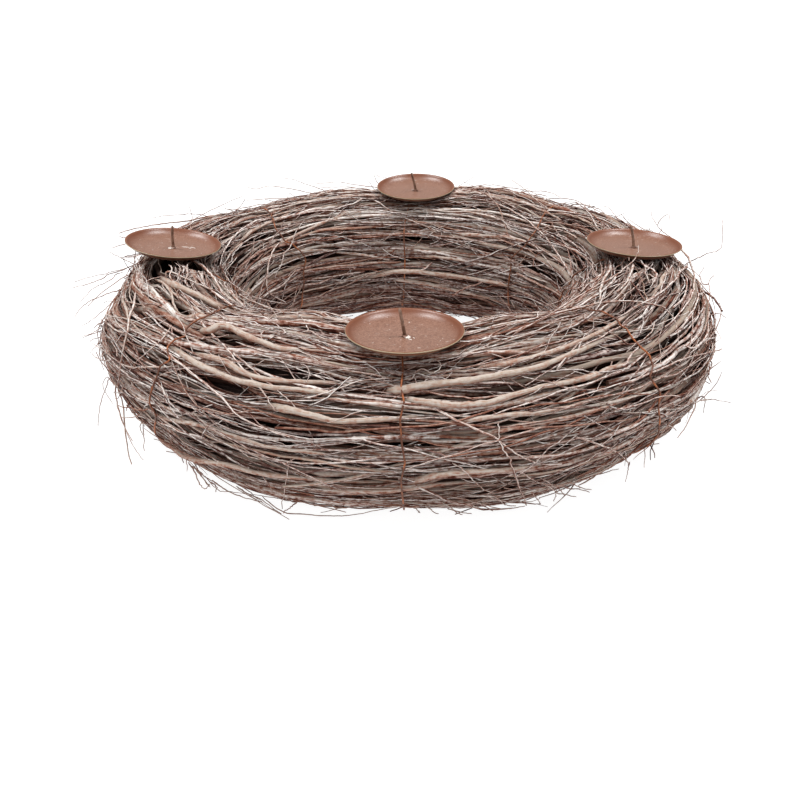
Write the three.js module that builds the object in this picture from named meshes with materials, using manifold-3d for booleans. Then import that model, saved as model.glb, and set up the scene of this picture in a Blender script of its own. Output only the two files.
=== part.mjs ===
// A brushwood candle wreath: bundles of twigs laid round a wire hoop, tied down with
// eight loops of binding wire, with four candle plates on spikes pushed into the top.
// Millimetres, +Z up. The origin is the centre of the ring, on the surface it rests on.
// The front of the wreath is towards -Y.
import * as THREE from "three";
import { mergeVertices } from "three/addons/utils/BufferGeometryUtils.js";
import Module from "manifold-3d";

const wasm = await Module();
wasm.setup();

// Ring of twigs
const wreathDiameter = 391;
const tubeDiameter = 96;
const footFlat = 1.3; // how far the twigs flatten where they rest
const stations = 32; // steps round the ring, a whole number of steps between bindings
const laneCount = 10;
const bundlesPerLane = 3;
const firstStart = 6; // station where the first bundle on top starts, clear of the spikes
const laneStagger = 7; // stations from one lane's first bundle to the next lane's
const valleyDepth = 3.4; // groove between two rods of a bundle
const rodDrop = 1.4; // most that a rod lies below the surface
const rodShares = [0.31, 0.19, 0.32, 0.18]; // widths of the rods in a bundle
const wideRodShare = 0.25; // a rod at least this wide gets a rounded back
const laneWander = 1.8; // degrees that a lane's edge strays to each side
const buttThickness = 1.2; // a bundle's first end, under the tips of the one before
const tipThickness = 1; // what is left under the grooves at a bundle's tips
const scarfGap = 1; // between a bundle's first end and the tips over it
const seatGap = 0.4; // between pieces that touch on the real wreath

// Core of finer twigs, in quarters, and the wire hoop inside it
const bundleThickness = 12; // from the core to the surface
const coreCount = 4;
const coreRibs = 6;
const coreRibDepth = 3;
const coreEndGap = 0.6;
const hoopWireDiameter = 4;
const hoopSides = 6;

// Binding wires
const bindingCount = 8;
const bindingWireDiameter = 1;
const bindingBite = 3.2; // how far a wire pulls the twigs in
const bindingBypass = -2.2; // degrees round the ring by which a wire passes beside a spike
const bindingSteps = 24;
const bindingSides = 4;
const twistLength = 8; // where the two ends of a wire are twisted together
const twistDiameter = 2.2;
const twistPlace = 214; // degrees round the section, low on the side of the hole

// Candle plates
const plateDiameter = 60;
const plateFloorDiameter = 43;
const plateDepth = 4;
const plateSheet = 0.8;
const plateLip = 1.2; // width of the flat edge round the plate
const plateLift = 2.5; // plate's underside above the wire on the twigs
const plateCurveSteps = 3;
const plateCurve = 62; // degrees of slope at the top of the plate's wall
const plateSegments = 24;
const burrDiameter = 5.6; // edge that the punch raised round the spike's hole

// Spikes, with the spot of weld that holds each one in its plate
const spikeDiameter = 2;
const spikeTipDiameter = 1.3;
const spikeAbove = 15;
const spikeBelow = 42;
const spikePoint = 4;
const spikeSides = 8;
const spikeRunning = 0.35; // clearance round a spike in the twigs
const fixedGap = 0.08; // between metal pieces that are welded on the real plate
const weldDiameter = 5;
const weldHeight = 1;
const weldSegments = 12;

// Stray twigs
const strayReach = 208; // from the middle of the wreath to the furthest tips
const strayRise = 8; // how far the others stand off the surface
const strayRoot = 5; // depth of a stray twig's root in its bundle
const strayDiameter = 2.2;
const strayTipDiameter = 1;
const straySteps = 4;
const straySides = 4;

const degrees = Math.PI / 180;
const tubeRadius = tubeDiameter / 2;
const ringRadius = wreathDiameter / 2 - tubeRadius;
const tubeHeight = tubeRadius - footFlat; // height of the section's centre
const coreRadius = tubeRadius - bundleThickness;
const plateRadius = plateDiameter / 2;
const spikeRadius = spikeDiameter / 2;
const stationsPerBinding = stations / bindingCount;
const stationAngle = (2 * Math.PI) / stations;
const laneAngle = (2 * Math.PI) / laneCount;
const boundRadius = tubeRadius - bindingBite; // surface of the twigs under a wire
const plateSeat = tubeHeight + boundRadius + plateLift + plateSheet; // height of a plate's floor
const seat = (coreRadius + seatGap) / Math.cos((laneAngle / 4 + laneWander * degrees) * 1.02);

// Lanes of bundles round the section, from the top over the hole's side and back
const laneNames = [
  "top", "inner_top", "inner_high", "inner_low", "inner_foot",
  "foot", "outer_foot", "outer_low", "outer_high", "outer_top",
];

// Where each candle holder stands, how far it leans towards the hole, and how far the
// free end of its spike is bent along the ring and away from the hole
const holders = [
  { name: "front", around: -90, lean: 0, bendAlong: -11, bendOut: -4 },
  { name: "right", around: 0, lean: -2, bendAlong: 4, bendOut: -12 },
  { name: "back", around: 86, lean: 5, bendAlong: 14, bendOut: -4 },
  { name: "left", around: 180, lean: 7, bendAlong: 6, bendOut: 2 },
];

// Stray twigs, by the lane they grow from, with the angles round the ring that they run
// between. Four of them end exactly at the wreath's furthest reach.
const strays = [
  { lane: "outer_high", from: 152, to: 180, phiTip: 8, furthest: true },
  { lane: "outer_high", from: 297, to: 270, phiTip: 6, furthest: true },
  { lane: "outer_high", from: -28, to: 0, phiTip: 10, furthest: true },
  { lane: "outer_low", from: 62, to: 90, phiTip: -2, furthest: true },
  { lane: "outer_top", from: 15, to: 40, phiTip: 52 },
  { lane: "outer_top", from: 108, to: 131, phiTip: 50 },
  { lane: "outer_top", from: 197, to: 220, phiTip: 56 },
  { lane: "inner_top", from: 20, to: 41, phiTip: 130 },
  { lane: "inner_top", from: 152, to: 130, phiTip: 128 },
  { lane: "inner_high", from: 243, to: 222, phiTip: 158 },
  { lane: "outer_low", from: 199, to: 222, phiTip: -20 },
  { lane: "outer_low", from: 341, to: 318, phiTip: -18 },
];

// Colours as seen, and whether the piece is metal
const colours = {
  twig: [0x8a7466, false],
  core: [0x5e4b40, false],
  hoop: [0x5a5550, true],
  binding: [0x8a4b2c, true],
  plate: [0x9a6248, true],
  spike: [0x5b4636, true],
  weld: [0xb9aca2, true],
};
const materials = Object.fromEntries(
  Object.entries(colours).map(([name, [color, metal]]) => [
    name,
    new THREE.MeshStandardMaterial({
      color,
      roughness: metal ? 0.6 : 0.85,
      metalness: metal ? 0.5 : 0,
    }),
  ]),
);

// A fixed, scattered value from 0 to 1 for each whole number
function scatter(n) {
  const x = Math.sin((n + 1) * 12.9898) * 43758.5453;
  return x - Math.floor(x);
}

// A point by its angle round the ring, its angle round the section and its distance from
// the section's centre
function ringPoint(theta, phi, rho) {
  const reach = ringRadius + rho * Math.cos(phi);
  return new THREE.Vector3(
    reach * Math.cos(theta),
    reach * Math.sin(theta),
    Math.max(0, tubeHeight + rho * Math.sin(phi)),
  );
}

// Radius of the twigs' surface at a station: drawn in at the bindings
function surfaceAt(station) {
  const step = THREE.MathUtils.euclideanModulo(station, stationsPerBinding);
  const half = stationsPerBinding / 2;
  const fromBinding = Math.min(step, stationsPerBinding - step) / half;
  return tubeRadius - bindingBite * (1 - fromBinding) ** 1.5;
}

// The same between two stations, where the surface runs straight
function surfaceBetween(theta) {
  const place = theta / stationAngle;
  const below = Math.floor(place);
  return THREE.MathUtils.lerp(surfaceAt(below), surfaceAt(below + 1), place - below);
}

// The edge between a lane and the one before it, at a station
function laneEdge(lane, station) {
  const edge = lane % laneCount;
  const sway = Math.sin((2 + (edge % 3)) * station * stationAngle + 5 * scatter(edge));
  return Math.PI / 2 + (lane - 0.5) * laneAngle + laneWander * degrees * sway;
}

// A geometry from rows of points and triples of indices
function geometryFrom(points, index) {
  const geometry = new THREE.BufferGeometry();
  const positions = points.flatMap((point) => point.toArray());
  geometry.setAttribute("position", new THREE.Float32BufferAttribute(positions, 3));
  geometry.setIndex(index);
  return geometry;
}

// The triangles between two rings of points, given each ring's first index
function band(here, next, size) {
  const index = [];
  for (let p = 0; p < size; p += 1) {
    const q = (p + 1) % size;
    index.push(here + p, here + q, next + q, here + p, next + q, next + p);
  }
  return index;
}

// A solid through rings of points that ends where it starts
function closedLoft(rings) {
  const size = rings[0].length;
  const index = rings.flatMap((_, r) => band(r * size, ((r + 1) % rings.length) * size, size));
  return geometryFrom(rings.flat(), index);
}

// A solid through rings of points, closed by a face at each end. flats gives the outlines
// of the two end faces, laid flat.
function openLoft(rings, flats) {
  const size = rings[0].length;
  const last = (rings.length - 1) * size;
  const index = rings.slice(1).flatMap((_, r) => band(r * size, (r + 1) * size, size));
  for (const [a, b, c] of THREE.ShapeUtils.triangulateShape(flats[0], [])) {
    index.push(c, b, a);
  }
  for (const [a, b, c] of THREE.ShapeUtils.triangulateShape(flats[1], [])) {
    index.push(last + a, last + b, last + c);
  }
  return geometryFrom(rings.flat(), index);
}

// A solid through rings of points, closed by a point at each end
function pointedLoft(rings, firstPoint, lastPoint) {
  const size = rings[0].length;
  const index = rings.slice(1).flatMap((_, r) => band(r * size, (r + 1) * size, size));
  const last = (rings.length - 1) * size;
  const first = rings.length * size;
  for (let p = 0; p < size; p += 1) {
    const q = (p + 1) % size;
    index.push(q, p, first, last + p, last + q, first + 1);
  }
  return geometryFrom([...rings.flat(), firstPoint, lastPoint], index);
}

// A geometry as a solid for joining and cutting
function solidOf(geometry) {
  const bare = geometry.clone();
  bare.deleteAttribute("normal");
  bare.deleteAttribute("uv");
  const merged = mergeVertices(bare, 1e-4);
  const mesh = new wasm.Mesh({
    numProp: 3,
    vertProperties: merged.attributes.position.array,
    triVerts: new Uint32Array(merged.index.array),
  });
  const made = new wasm.Manifold(mesh);
  if (made.volume() > 0) return made;
  for (let i = 0; i < mesh.triVerts.length; i += 3) {
    mesh.triVerts.subarray(i, i + 3).reverse();
  }
  return new wasm.Manifold(mesh);
}

function geometryOf(solid) {
  const mesh = solid.getMesh();
  const geometry = new THREE.BufferGeometry();
  geometry.setAttribute("position", new THREE.BufferAttribute(mesh.vertProperties, 3));
  geometry.setIndex(new THREE.BufferAttribute(mesh.triVerts, 1));
  return geometry;
}

// A ring of points round a centre
function roundRing(centre, side, up, radius, sides) {
  return Array.from({ length: sides }, (_, n) => {
    const turn = (2 * Math.PI * n) / sides;
    return centre
      .clone()
      .addScaledVector(side, radius * Math.cos(turn))
      .addScaledVector(up, radius * Math.sin(turn));
  });
}

// A solid that follows the ring through outlines at given angles round it
function ringLoft(sections) {
  const rings = sections.map(({ theta, outline }) =>
    outline.map(({ phi, rho }) => ringPoint(theta, phi, rho)),
  );
  const flats = [sections[0], sections[sections.length - 1]].map(({ outline }) =>
    outline.map(({ phi, rho }) => new THREE.Vector2(rho * Math.cos(phi), rho * Math.sin(phi))),
  );
  return solidOf(openLoft(rings, flats));
}

// The rods of a bundle: shares of its width, and how far each lies below the surface.
// Those that the wreath stands on are pressed level.
function rodsOf(lane, seed) {
  const deepest = laneNames[lane] === "foot" ? 0 : rodDrop;
  const start = Math.floor(scatter(seed) * rodShares.length);
  const rods = [];
  let from = 0;
  for (let n = 0; n < rodShares.length; n += 1) {
    const share = rodShares[(start + n) % rodShares.length];
    const backs = share >= wideRodShare ? [0.24, 0.76] : [0.5];
    rods.push({ from, to: from + share, backs, drop: deepest * scatter(seed * 7 + n) });
    from += share;
  }
  return rods;
}

// A bundle's section: rods side by side on the outside, and the core's curve inside.
// top and under are the distances of the surface and of the inner face.
function bundleOutline(lane, station, rods, top, under, ribbed) {
  const narrow = seatGap / 2 / tubeRadius;
  const from = laneEdge(lane, station) + narrow;
  const to = laneEdge(lane + 1, station) - narrow;
  const at = (share) => THREE.MathUtils.lerp(from, to, share);
  const valley = ribbed ? top - valleyDepth : top;
  const outline = [{ phi: from, rho: valley }];
  for (const rod of rods) {
    const rho = ribbed ? top - rod.drop : top;
    for (const back of rod.backs) {
      outline.push({ phi: at(THREE.MathUtils.lerp(rod.from, rod.to, back)), rho });
    }
    outline.push({ phi: at(rod.to), rho: valley });
  }
  outline.push({ phi: to, rho: under }, { phi: at(0.5), rho: under }, { phi: from, rho: under });
  return outline;
}

// One bundle of a lane: a thin first end, the full bundle, and tips over the next one
function bundle(lane, start, end, seed) {
  const rods = rodsOf(lane, seed);
  const underTips = (station) => surfaceAt(station) - valleyDepth - tipThickness;
  const sections = [];
  for (let station = start; station <= end + 1; station += 1) {
    const buried = station <= start + 1;
    let top = surfaceAt(station);
    let under = seat;
    if (station === start) top = seat + buttThickness;
    if (station === start + 1) top = underTips(station) - scarfGap;
    if (station === end) under = seat + buttThickness + scarfGap;
    if (station === end + 1) under = underTips(station);
    const outline = bundleOutline(lane, station, rods, top, under, !buried);
    sections.push({ theta: station * stationAngle, outline });
  }
  return ringLoft(sections);
}

// A stray twig: it leaves its bundle at a low angle and tapers to a point
function strayTwig({ lane, from, to, phiTip, furthest }) {
  const phi = Math.PI / 2 + laneNames.indexOf(lane) * laneAngle;
  const halfTurn = Math.PI;
  const sideways = phiTip * degrees - phi;
  const drift = THREE.MathUtils.euclideanModulo(sideways + halfTurn, 2 * halfTurn) - halfTurn;
  const rhoRoot = surfaceBetween(from * degrees) - strayRoot;
  const rhoFurthest = (strayReach - ringRadius) / Math.cos(phiTip * degrees);
  const rhoTip = furthest ? rhoFurthest : tubeRadius + strayRise;
  const centre = (share) =>
    ringPoint(
      THREE.MathUtils.lerp(from, to, share) * degrees,
      phi + drift * share ** 2,
      THREE.MathUtils.lerp(rhoRoot, rhoTip, share),
    );
  const rings = [];
  for (let step = 0; step < straySteps; step += 1) {
    const share = 0.03 + step / straySteps;
    const along = centre(share + 0.01).sub(centre(share)).normalize();
    const side = new THREE.Vector3(0, 0, 1).cross(along).normalize();
    const up = along.clone().cross(side);
    const radius = THREE.MathUtils.lerp(strayDiameter, strayTipDiameter, share) / 2;
    rings.push(roundRing(centre(share), side, up, radius, straySides));
  }
  return solidOf(pointedLoft(rings, centre(0), centre(1)));
}

// The frame of a candle holder: its floor's centre, turned so that it leans to the hole.
// The frame's X runs away from the hole and its Y along the ring.
function holderMatrix({ around, lean }) {
  const turn = new THREE.Matrix4().makeRotationZ(around * degrees);
  const tilt = new THREE.Matrix4().makeRotationY(-lean * degrees);
  const place = new THREE.Matrix4().makeTranslation(ringRadius, 0, plateSeat);
  return turn.multiply(place).multiply(tilt);
}

// The hole that a spike makes in the twigs
function spikeChannel(holder) {
  const radius = spikeRadius + spikeRunning;
  const length = spikeBelow + 2 * spikeRunning + spikeAbove;
  const shape = new THREE.CylinderGeometry(radius, radius, length, spikeSides);
  shape.rotateX(Math.PI / 2);
  shape.translate(0, 0, spikeAbove - length / 2);
  return solidOf(shape.applyMatrix4(holderMatrix(holder)));
}

// The first stations of the bundles in a lane, staggered from lane to lane
function laneStarts(lane) {
  const first = firstStart + ((lane * laneStagger) % stations);
  return Array.from(
    { length: bundlesPerLane + 1 },
    (_, n) => first + Math.round((n * stations) / bundlesPerLane),
  );
}

// Whether a stray twig grows from the bundle between two stations
function growsFrom(stray, lane, start, end) {
  if (laneNames[lane] !== stray.lane) return false;
  const root = (stray.from * degrees) / stationAngle;
  const place = start + THREE.MathUtils.euclideanModulo(root - start, stations);
  return place >= start + 2 && place < end;
}

// The wire hoop, and with a wider wire the tunnel that it lies in
function hoopSolid(wireRadius) {
  const rings = Array.from({ length: stations }, (_, station) =>
    Array.from({ length: hoopSides }, (__, n) =>
      ringPoint(station * stationAngle, (2 * Math.PI * n) / hoopSides, wireRadius),
    ),
  );
  return solidOf(closedLoft(rings));
}

// A quarter of the core, ribbed like a sheaf of fine twigs
function coreSolid(quarter) {
  const steps = stations / coreCount;
  const endGap = coreEndGap / 2 / ringRadius;
  const outline = Array.from({ length: 2 * coreRibs }, (_, n) => ({
    phi: (Math.PI * n) / coreRibs,
    rho: coreRadius - (n % 2) * coreRibDepth,
  }));
  const sections = [];
  for (let step = 0; step <= steps; step += 1) {
    let theta = (quarter * steps + step) * stationAngle;
    if (step === 0) theta += endGap;
    if (step === steps) theta -= endGap;
    sections.push({ theta, outline });
  }
  return ringLoft(sections).subtract(hoopSolid(hoopWireDiameter / 2 + seatGap));
}

// A binding wire: one loop round the twigs, with its ends twisted together
function bindingSolid(number) {
  const radius = bindingWireDiameter / 2;
  const base = number * stationsPerBinding * stationAngle;
  const clear = seatGap / Math.cos(Math.PI / bindingSteps);
  const thetaAt = (phi) => base + bindingBypass * degrees * Math.max(0, Math.sin(phi)) ** 2;
  const rhoAt = (phi) => {
    const surface = surfaceBetween(thetaAt(phi)) / Math.cos(Math.PI / bindingSteps);
    return surface + clear + radius;
  };
  const rings = Array.from({ length: bindingSteps }, (_, step) => {
    const phi = (2 * Math.PI * step) / bindingSteps;
    return Array.from({ length: bindingSides }, (__, n) => {
      const turn = (2 * Math.PI * n) / bindingSides;
      const theta = thetaAt(phi) + (radius * Math.sin(turn)) / ringRadius;
      return ringPoint(theta, phi, rhoAt(phi) + radius * Math.cos(turn));
    });
  });
  return solidOf(closedLoft(rings)).add(twistSolid(base, rhoAt(twistPlace * degrees)));
}

// The twisted ends of a binding wire, lying along the loop
function twistSolid(theta, rho) {
  const radius = twistDiameter / 2;
  const lift = radius - bindingWireDiameter / 2;
  const turn = twistLength / tubeRadius;
  const start = twistPlace * degrees;
  const centre = (share) => ringPoint(theta, start + share * turn, rho + lift);
  const along = centre(1).sub(centre(0)).normalize();
  const side = new THREE.Vector3(-Math.sin(theta), Math.cos(theta), 0);
  const up = along.clone().cross(side);
  const rings = [0.12, 0.85].map((share) => roundRing(centre(share), side, up, radius, spikeSides));
  return solidOf(pointedLoft(rings, centre(0), centre(1)));
}

// A candle plate in its own frame, with its floor's upper side at height zero
function plateGeometry() {
  const floorRadius = plateFloorDiameter / 2;
  const wallRadius = plateRadius - plateLip;
  const hole = (spikeRadius + fixedGap) / Math.cos(Math.PI / plateSegments);
  const upper = [];
  const under = [];
  for (let step = 0; step <= plateCurveSteps; step += 1) {
    const slope = ((plateCurve * step) / plateCurveSteps) * degrees;
    const out = Math.sin(slope) / Math.sin(plateCurve * degrees);
    const up = (1 - Math.cos(slope)) / (1 - Math.cos(plateCurve * degrees));
    const r = THREE.MathUtils.lerp(floorRadius, wallRadius, out);
    const z = plateDepth * up;
    upper.push(new THREE.Vector2(r, z));
    under.push(new THREE.Vector2(r + plateSheet * Math.sin(slope), z - plateSheet * Math.cos(slope)));
  }
  under[plateCurveSteps].y = plateDepth - plateSheet;
  const profile = [
    new THREE.Vector2(hole, -plateSheet),
    ...under,
    new THREE.Vector2(plateRadius, plateDepth - plateSheet),
    new THREE.Vector2(plateRadius, plateDepth),
    ...upper.reverse(),
    new THREE.Vector2(burrDiameter / 2 + fixedGap, 0),
    new THREE.Vector2(burrDiameter / 2, fixedGap),
    new THREE.Vector2(hole, fixedGap),
    new THREE.Vector2(hole, -plateSheet),
  ];
  const shape = new THREE.LatheGeometry(profile, plateSegments);
  return shape.rotateX(Math.PI / 2);
}

// The spot of weld round a spike, on the plate's floor
function weldGeometry() {
  const hole = (spikeRadius + fixedGap) / Math.cos(Math.PI / weldSegments);
  const radius = weldDiameter / 2;
  const foot = 2 * fixedGap;
  const profile = [
    new THREE.Vector2(hole, foot),
    new THREE.Vector2(radius, foot),
    new THREE.Vector2(radius * 0.72, weldHeight * 0.75),
    new THREE.Vector2(hole, weldHeight),
    new THREE.Vector2(hole, foot),
  ];
  const shape = new THREE.LatheGeometry(profile, weldSegments);
  return shape.rotateX(Math.PI / 2);
}

// A spike: straight in the twigs, bent a little where it stands free in the plate
function spikeGeometry({ bendAlong, bendOut }) {
  const side = new THREE.Vector3(1, 0, 0);
  const up = new THREE.Vector3(0, 1, 0);
  const bendStart = new THREE.Vector3(0, 0, weldHeight + 0.2);
  const bent = new THREE.Vector3(
    Math.tan(bendOut * degrees),
    Math.tan(bendAlong * degrees),
    1,
  ).normalize();
  const alongBend = (length) => bendStart.clone().addScaledVector(bent, length);
  const free = spikeAbove - bendStart.z;
  const straight = (z) => new THREE.Vector3(0, 0, z);
  const rings = [
    roundRing(straight(spikePoint - spikeBelow), side, up, spikeRadius, spikeSides),
    roundRing(bendStart, side, up, spikeRadius, spikeSides),
    roundRing(alongBend(free - spikePoint), side, up, spikeTipDiameter / 2, spikeSides),
  ];
  return pointedLoft(rings, straight(-spikeBelow), alongBend(free));
}

const wreath = new THREE.Group();

function addPiece(name, geometry, material, parent = wreath) {
  const mesh = new THREE.Mesh(geometry, material.clone());
  mesh.name = name;
  parent.add(mesh);
}

// A candle holder: its plate, its spike and the weld between them
function addHolder(holder) {
  const group = new THREE.Group();
  group.applyMatrix4(holderMatrix(holder));
  wreath.add(group);
  addPiece(`plate_${holder.name}`, plateGeometry(), materials.plate, group);
  addPiece(`spike_${holder.name}`, spikeGeometry(holder), materials.spike, group);
  addPiece(`weld_${holder.name}`, weldGeometry(), materials.weld, group);
}

const channels = holders.map(spikeChannel);
const withoutChannels = (solid) => channels.reduce((left, hole) => left.subtract(hole), solid);

laneNames.forEach((laneName, lane) => {
  const starts = laneStarts(lane);
  for (let n = 0; n < bundlesPerLane; n += 1) {
    const [start, end] = [starts[n], starts[n + 1]];
    let solid = withoutChannels(bundle(lane, start, end, lane * bundlesPerLane + n));
    for (const stray of strays) {
      if (growsFrom(stray, lane, start, end)) solid = solid.add(strayTwig(stray));
    }
    addPiece(`twigs_${laneName}_${n + 1}`, geometryOf(solid), materials.twig);
  }
});
for (let quarter = 0; quarter < coreCount; quarter += 1) {
  addPiece(`core_${quarter + 1}`, geometryOf(withoutChannels(coreSolid(quarter))), materials.core);
}
addPiece("hoop", geometryOf(hoopSolid(hoopWireDiameter / 2)), materials.hoop);
for (let number = 0; number < bindingCount; number += 1) {
  addPiece(`binding_${number + 1}`, geometryOf(bindingSolid(number)), materials.binding);
}
holders.forEach(addHolder);

export default wreath;
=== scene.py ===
"""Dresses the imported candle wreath: brushwood, wires, candle plates on spikes, and a studio."""

import collections
import functools
import math

import bmesh
import bpy
import numpy as np
from mathutils import Matrix, Vector


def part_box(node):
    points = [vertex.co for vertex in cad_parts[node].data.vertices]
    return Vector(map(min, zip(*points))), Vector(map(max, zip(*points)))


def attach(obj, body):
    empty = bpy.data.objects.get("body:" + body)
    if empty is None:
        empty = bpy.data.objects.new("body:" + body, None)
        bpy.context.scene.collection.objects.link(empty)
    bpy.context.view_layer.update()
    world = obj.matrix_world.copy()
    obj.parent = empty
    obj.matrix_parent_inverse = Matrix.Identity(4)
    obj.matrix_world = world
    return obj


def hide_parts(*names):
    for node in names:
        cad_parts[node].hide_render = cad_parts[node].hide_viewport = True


bl_info = {
    "name": "Candle wreath",
    "version": (1, 0, 0),
    "blender": (4, 5, 0),
    "location": "View3D > Sidebar > Wreath",
    "description": "A brushwood wreath with four candle plates on spikes",
    "category": "Add Mesh",
}

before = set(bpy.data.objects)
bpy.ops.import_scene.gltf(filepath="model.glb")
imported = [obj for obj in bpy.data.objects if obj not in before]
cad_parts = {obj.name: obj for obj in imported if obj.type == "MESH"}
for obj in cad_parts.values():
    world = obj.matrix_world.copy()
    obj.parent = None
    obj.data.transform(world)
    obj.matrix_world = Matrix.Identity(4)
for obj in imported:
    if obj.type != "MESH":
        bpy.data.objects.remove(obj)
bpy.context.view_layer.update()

MM = 0.001
TURN = 2 * math.pi
STUDIO_IMAGE = 800  # pixels across the photograph

# The ring, as the frame has it
HOOP_WIRE = 2 * MM  # radius of the hoop's wire
HOOP_LOW, HOOP_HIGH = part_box("hoop")
RING = (HOOP_HIGH.x - HOOP_LOW.x) / 2 - HOOP_WIRE
TUBE = 48 * MM  # radius of the tube of twigs
HEIGHT = (HOOP_HIGH.z + HOOP_LOW.z) / 2
CORE = 36 * MM  # radius of the core inside the tube
OUTER_CORE = 0.6  # share of the core's twigs that lie in its outer ring
CORE_DEPTH = 2 * MM  # of that ring's twigs
CORE_INSIDE = (9 * MM, 30 * MM)  # from the hoop's middle to the others, least and most
CORE_STARTS = (-0.04, 0.3)  # where a core twig starts and ends, in quarters of the ring
CORE_ENDS = (0.7, 1.04)
CORE_TWIG = (1.1, 1.9)  # its radius in millimetres
CORE_SPREAD = math.radians(2)  # of its slant, its curl and its kinks
CORE_STEPS = 22
BINDINGS = 8
BITE = 3.2 * MM  # how far a wire pulls the twigs in
BYPASS = math.radians(-2.2)  # a wire passes beside a spike by this much
WIRE_SUNK = 3 * MM  # how much deeper a wire lies where fine twigs hide it
WIRE_PROUD = 1.5 * MM  # how far a wire lies over the twigs' surface where it shows
WIRE_WAVE = math.radians(1.2)  # how far a wire strays round the ring
WIRE_DIP = 0.3 * MM  # how far it goes in and out over the twigs
WIRE_BLEND = math.radians(24)  # from where the photograph shows a wire to its even way
TWIST_PLACE = math.radians(214)  # where round the section a wire's ends are twisted together
TWIST_TURNS = 3
TWIST_STEPS = 40
TWIST_APART = 0.52  # from the twist's middle to each end, in thicknesses of the wire
TWIST_SPLAY = 0.5  # share by which the tips stand further apart
TWIST_PROUD = 1.6  # of the twist's middle over the twigs, in thicknesses of the wire
WAVES = (5, 8, 13, 21)  # how many waves and dips a loop has
DIPS = (11, 17, 29)
WIRE_STEPS = 220
WIRE_RELIEF = 0.1
STATIONS = 32  # steps round the ring that the bundles start and end on
STATION = TURN / STATIONS
LANES = (
    "top", "inner_top", "inner_high", "inner_low", "inner_foot",
    "foot", "outer_foot", "outer_low", "outer_high", "outer_top",
)
LANE_ANGLE = TURN / len(LANES)
BUNDLES = 3  # in each lane
FIRST_START = 6  # station at which the first lane's first bundle starts
LANE_STAGGER = 7  # stations from one lane's first start to the next one's

# Candle holders: place round the ring, lean to the hole, bend of the spike along the ring
# and away from the hole in degrees, and the width and length of the gap in the twigs
Holder = collections.namedtuple("Holder", "around lean bend_along bend_out gap gap_length")
HOLDERS = {
    "front": Holder(-90, 0, -11, -4, 2.0 * MM, 12 * MM),
    "right": Holder(0, -2, 4, -15, 6.0 * MM, 26 * MM),
    "back": Holder(86, 5, 14, -4, 2.0 * MM, 12 * MM),
    "left": Holder(180, 7, 6, 2, 6.0 * MM, 26 * MM),
}
PLATE_SEAT = 94.8 * MM  # height of a plate's floor
# Splashes of weld metal on a plate's floor: place away from the hole and along the ring,
# length, width, and turn in degrees
SPATTER = {
    "front": (
        (4.0 * MM, 2.6 * MM, 2.6 * MM, 0.8 * MM, 60),
        (2.2 * MM, 4.6 * MM, 1.6 * MM, 0.6 * MM, 20),
    ),
    "left": (
        (-7.0 * MM, -4.2 * MM, 5.2 * MM, 0.9 * MM, 4),
        (-11.4 * MM, -4.8 * MM, 4.2 * MM, 0.7 * MM, -6),
        (-10.2 * MM, -3.0 * MM, 2.2 * MM, 0.7 * MM, 30),
    ),
}
SPATTER_HEIGHT = 0.18 * MM
SPATTER_SEAT = 0.02 * MM  # how far its underside stays off the floor
DOME = ((0.02, 0.0), (1.0, 0.0), (0.9, 0.6), (0.5, 0.95), (0.02, 1.0))  # section of a splash
SPIKE_SAG = 0.35 * MM  # how far a spike bows out over its plate
SPIKE_RELIEF = 0.08
SPIKE_POINT = ((0, 0.06), (1 * MM, 0.4))  # height over its end, and share of its thickness
BLUNT = 0.4  # share of its thickness that the upper end keeps
BEND_START = 0.2 * MM  # how far over its weld a spike starts to bend
WALL_SHADE_MARK = 0.3  # mark of the painted shade on a plate's wall, where 0 is its floor and 1 its edge
WALL_SLOPE = math.radians(48)  # of a plate's wall at its edge
HOLE_GAP = 0.08 * MM  # between a spike and the hole in its plate
WELD_FOOT = 0.08 * MM  # height of a weld's foot over the plate's floor
WELD_SHAPE = ((0.95, 0.3), (0.8, 0.62), (0.62, 0.85))  # shares of its radius and height
WELD_LUMPS = 0.16  # how much a weld's rim comes and goes
WELD_DRAWN = 0.42  # how far it is drawn in all round, and how far it ran out to one side
WELD_RUN = 0.95
PLATE_FLOOR = (0.12, 0.4, 0.7)  # points of a plate's section from its hole to its wall
WALL_STEPS = 10  # and from its wall's foot to its edge
WALL_SHADE_FULL = 0.7  # share of its depth from which the wall has its full painted shade
LIP_ANGLES = range(-90, 91, 30)  # points round the section of its lip, in degrees
HOLE_EDGE = 0.05 * MM  # how far its floor stands up at the hole

# Sides of the swept pieces, for stout and fine strands, and segments of the turned ones
TWIG_SIDES = (8, 5)
CORE_SIDES = (5, 5)
WIRE_SIDES = (8, 8)
SPIKE_SIDES = (14, 14)
PLATE_SEGMENTS = 96
WELD_SEGMENTS = 48
SPLASH_SEGMENTS = 12

# How the twigs make way for the holders
SPIKE_SPREAD = 5 * MM  # how slowly the push of a spike dies away
SPIKE_REACH = 30 * MM  # how far from a spike its push reaches
BELOW_SPIKE = 4 * MM  # and how far below its lower point
PLATE_GAP = 0.4 * MM  # between a plate and the twigs under it
PLATE_MARGIN = 2 * MM  # twigs are pressed down this far beyond a plate
PLATE_REACH = 16 * MM  # and held low this far beyond it
BESIDE_PLATE = 1.5 * MM  # how high they are held, over the plate's floor

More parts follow.
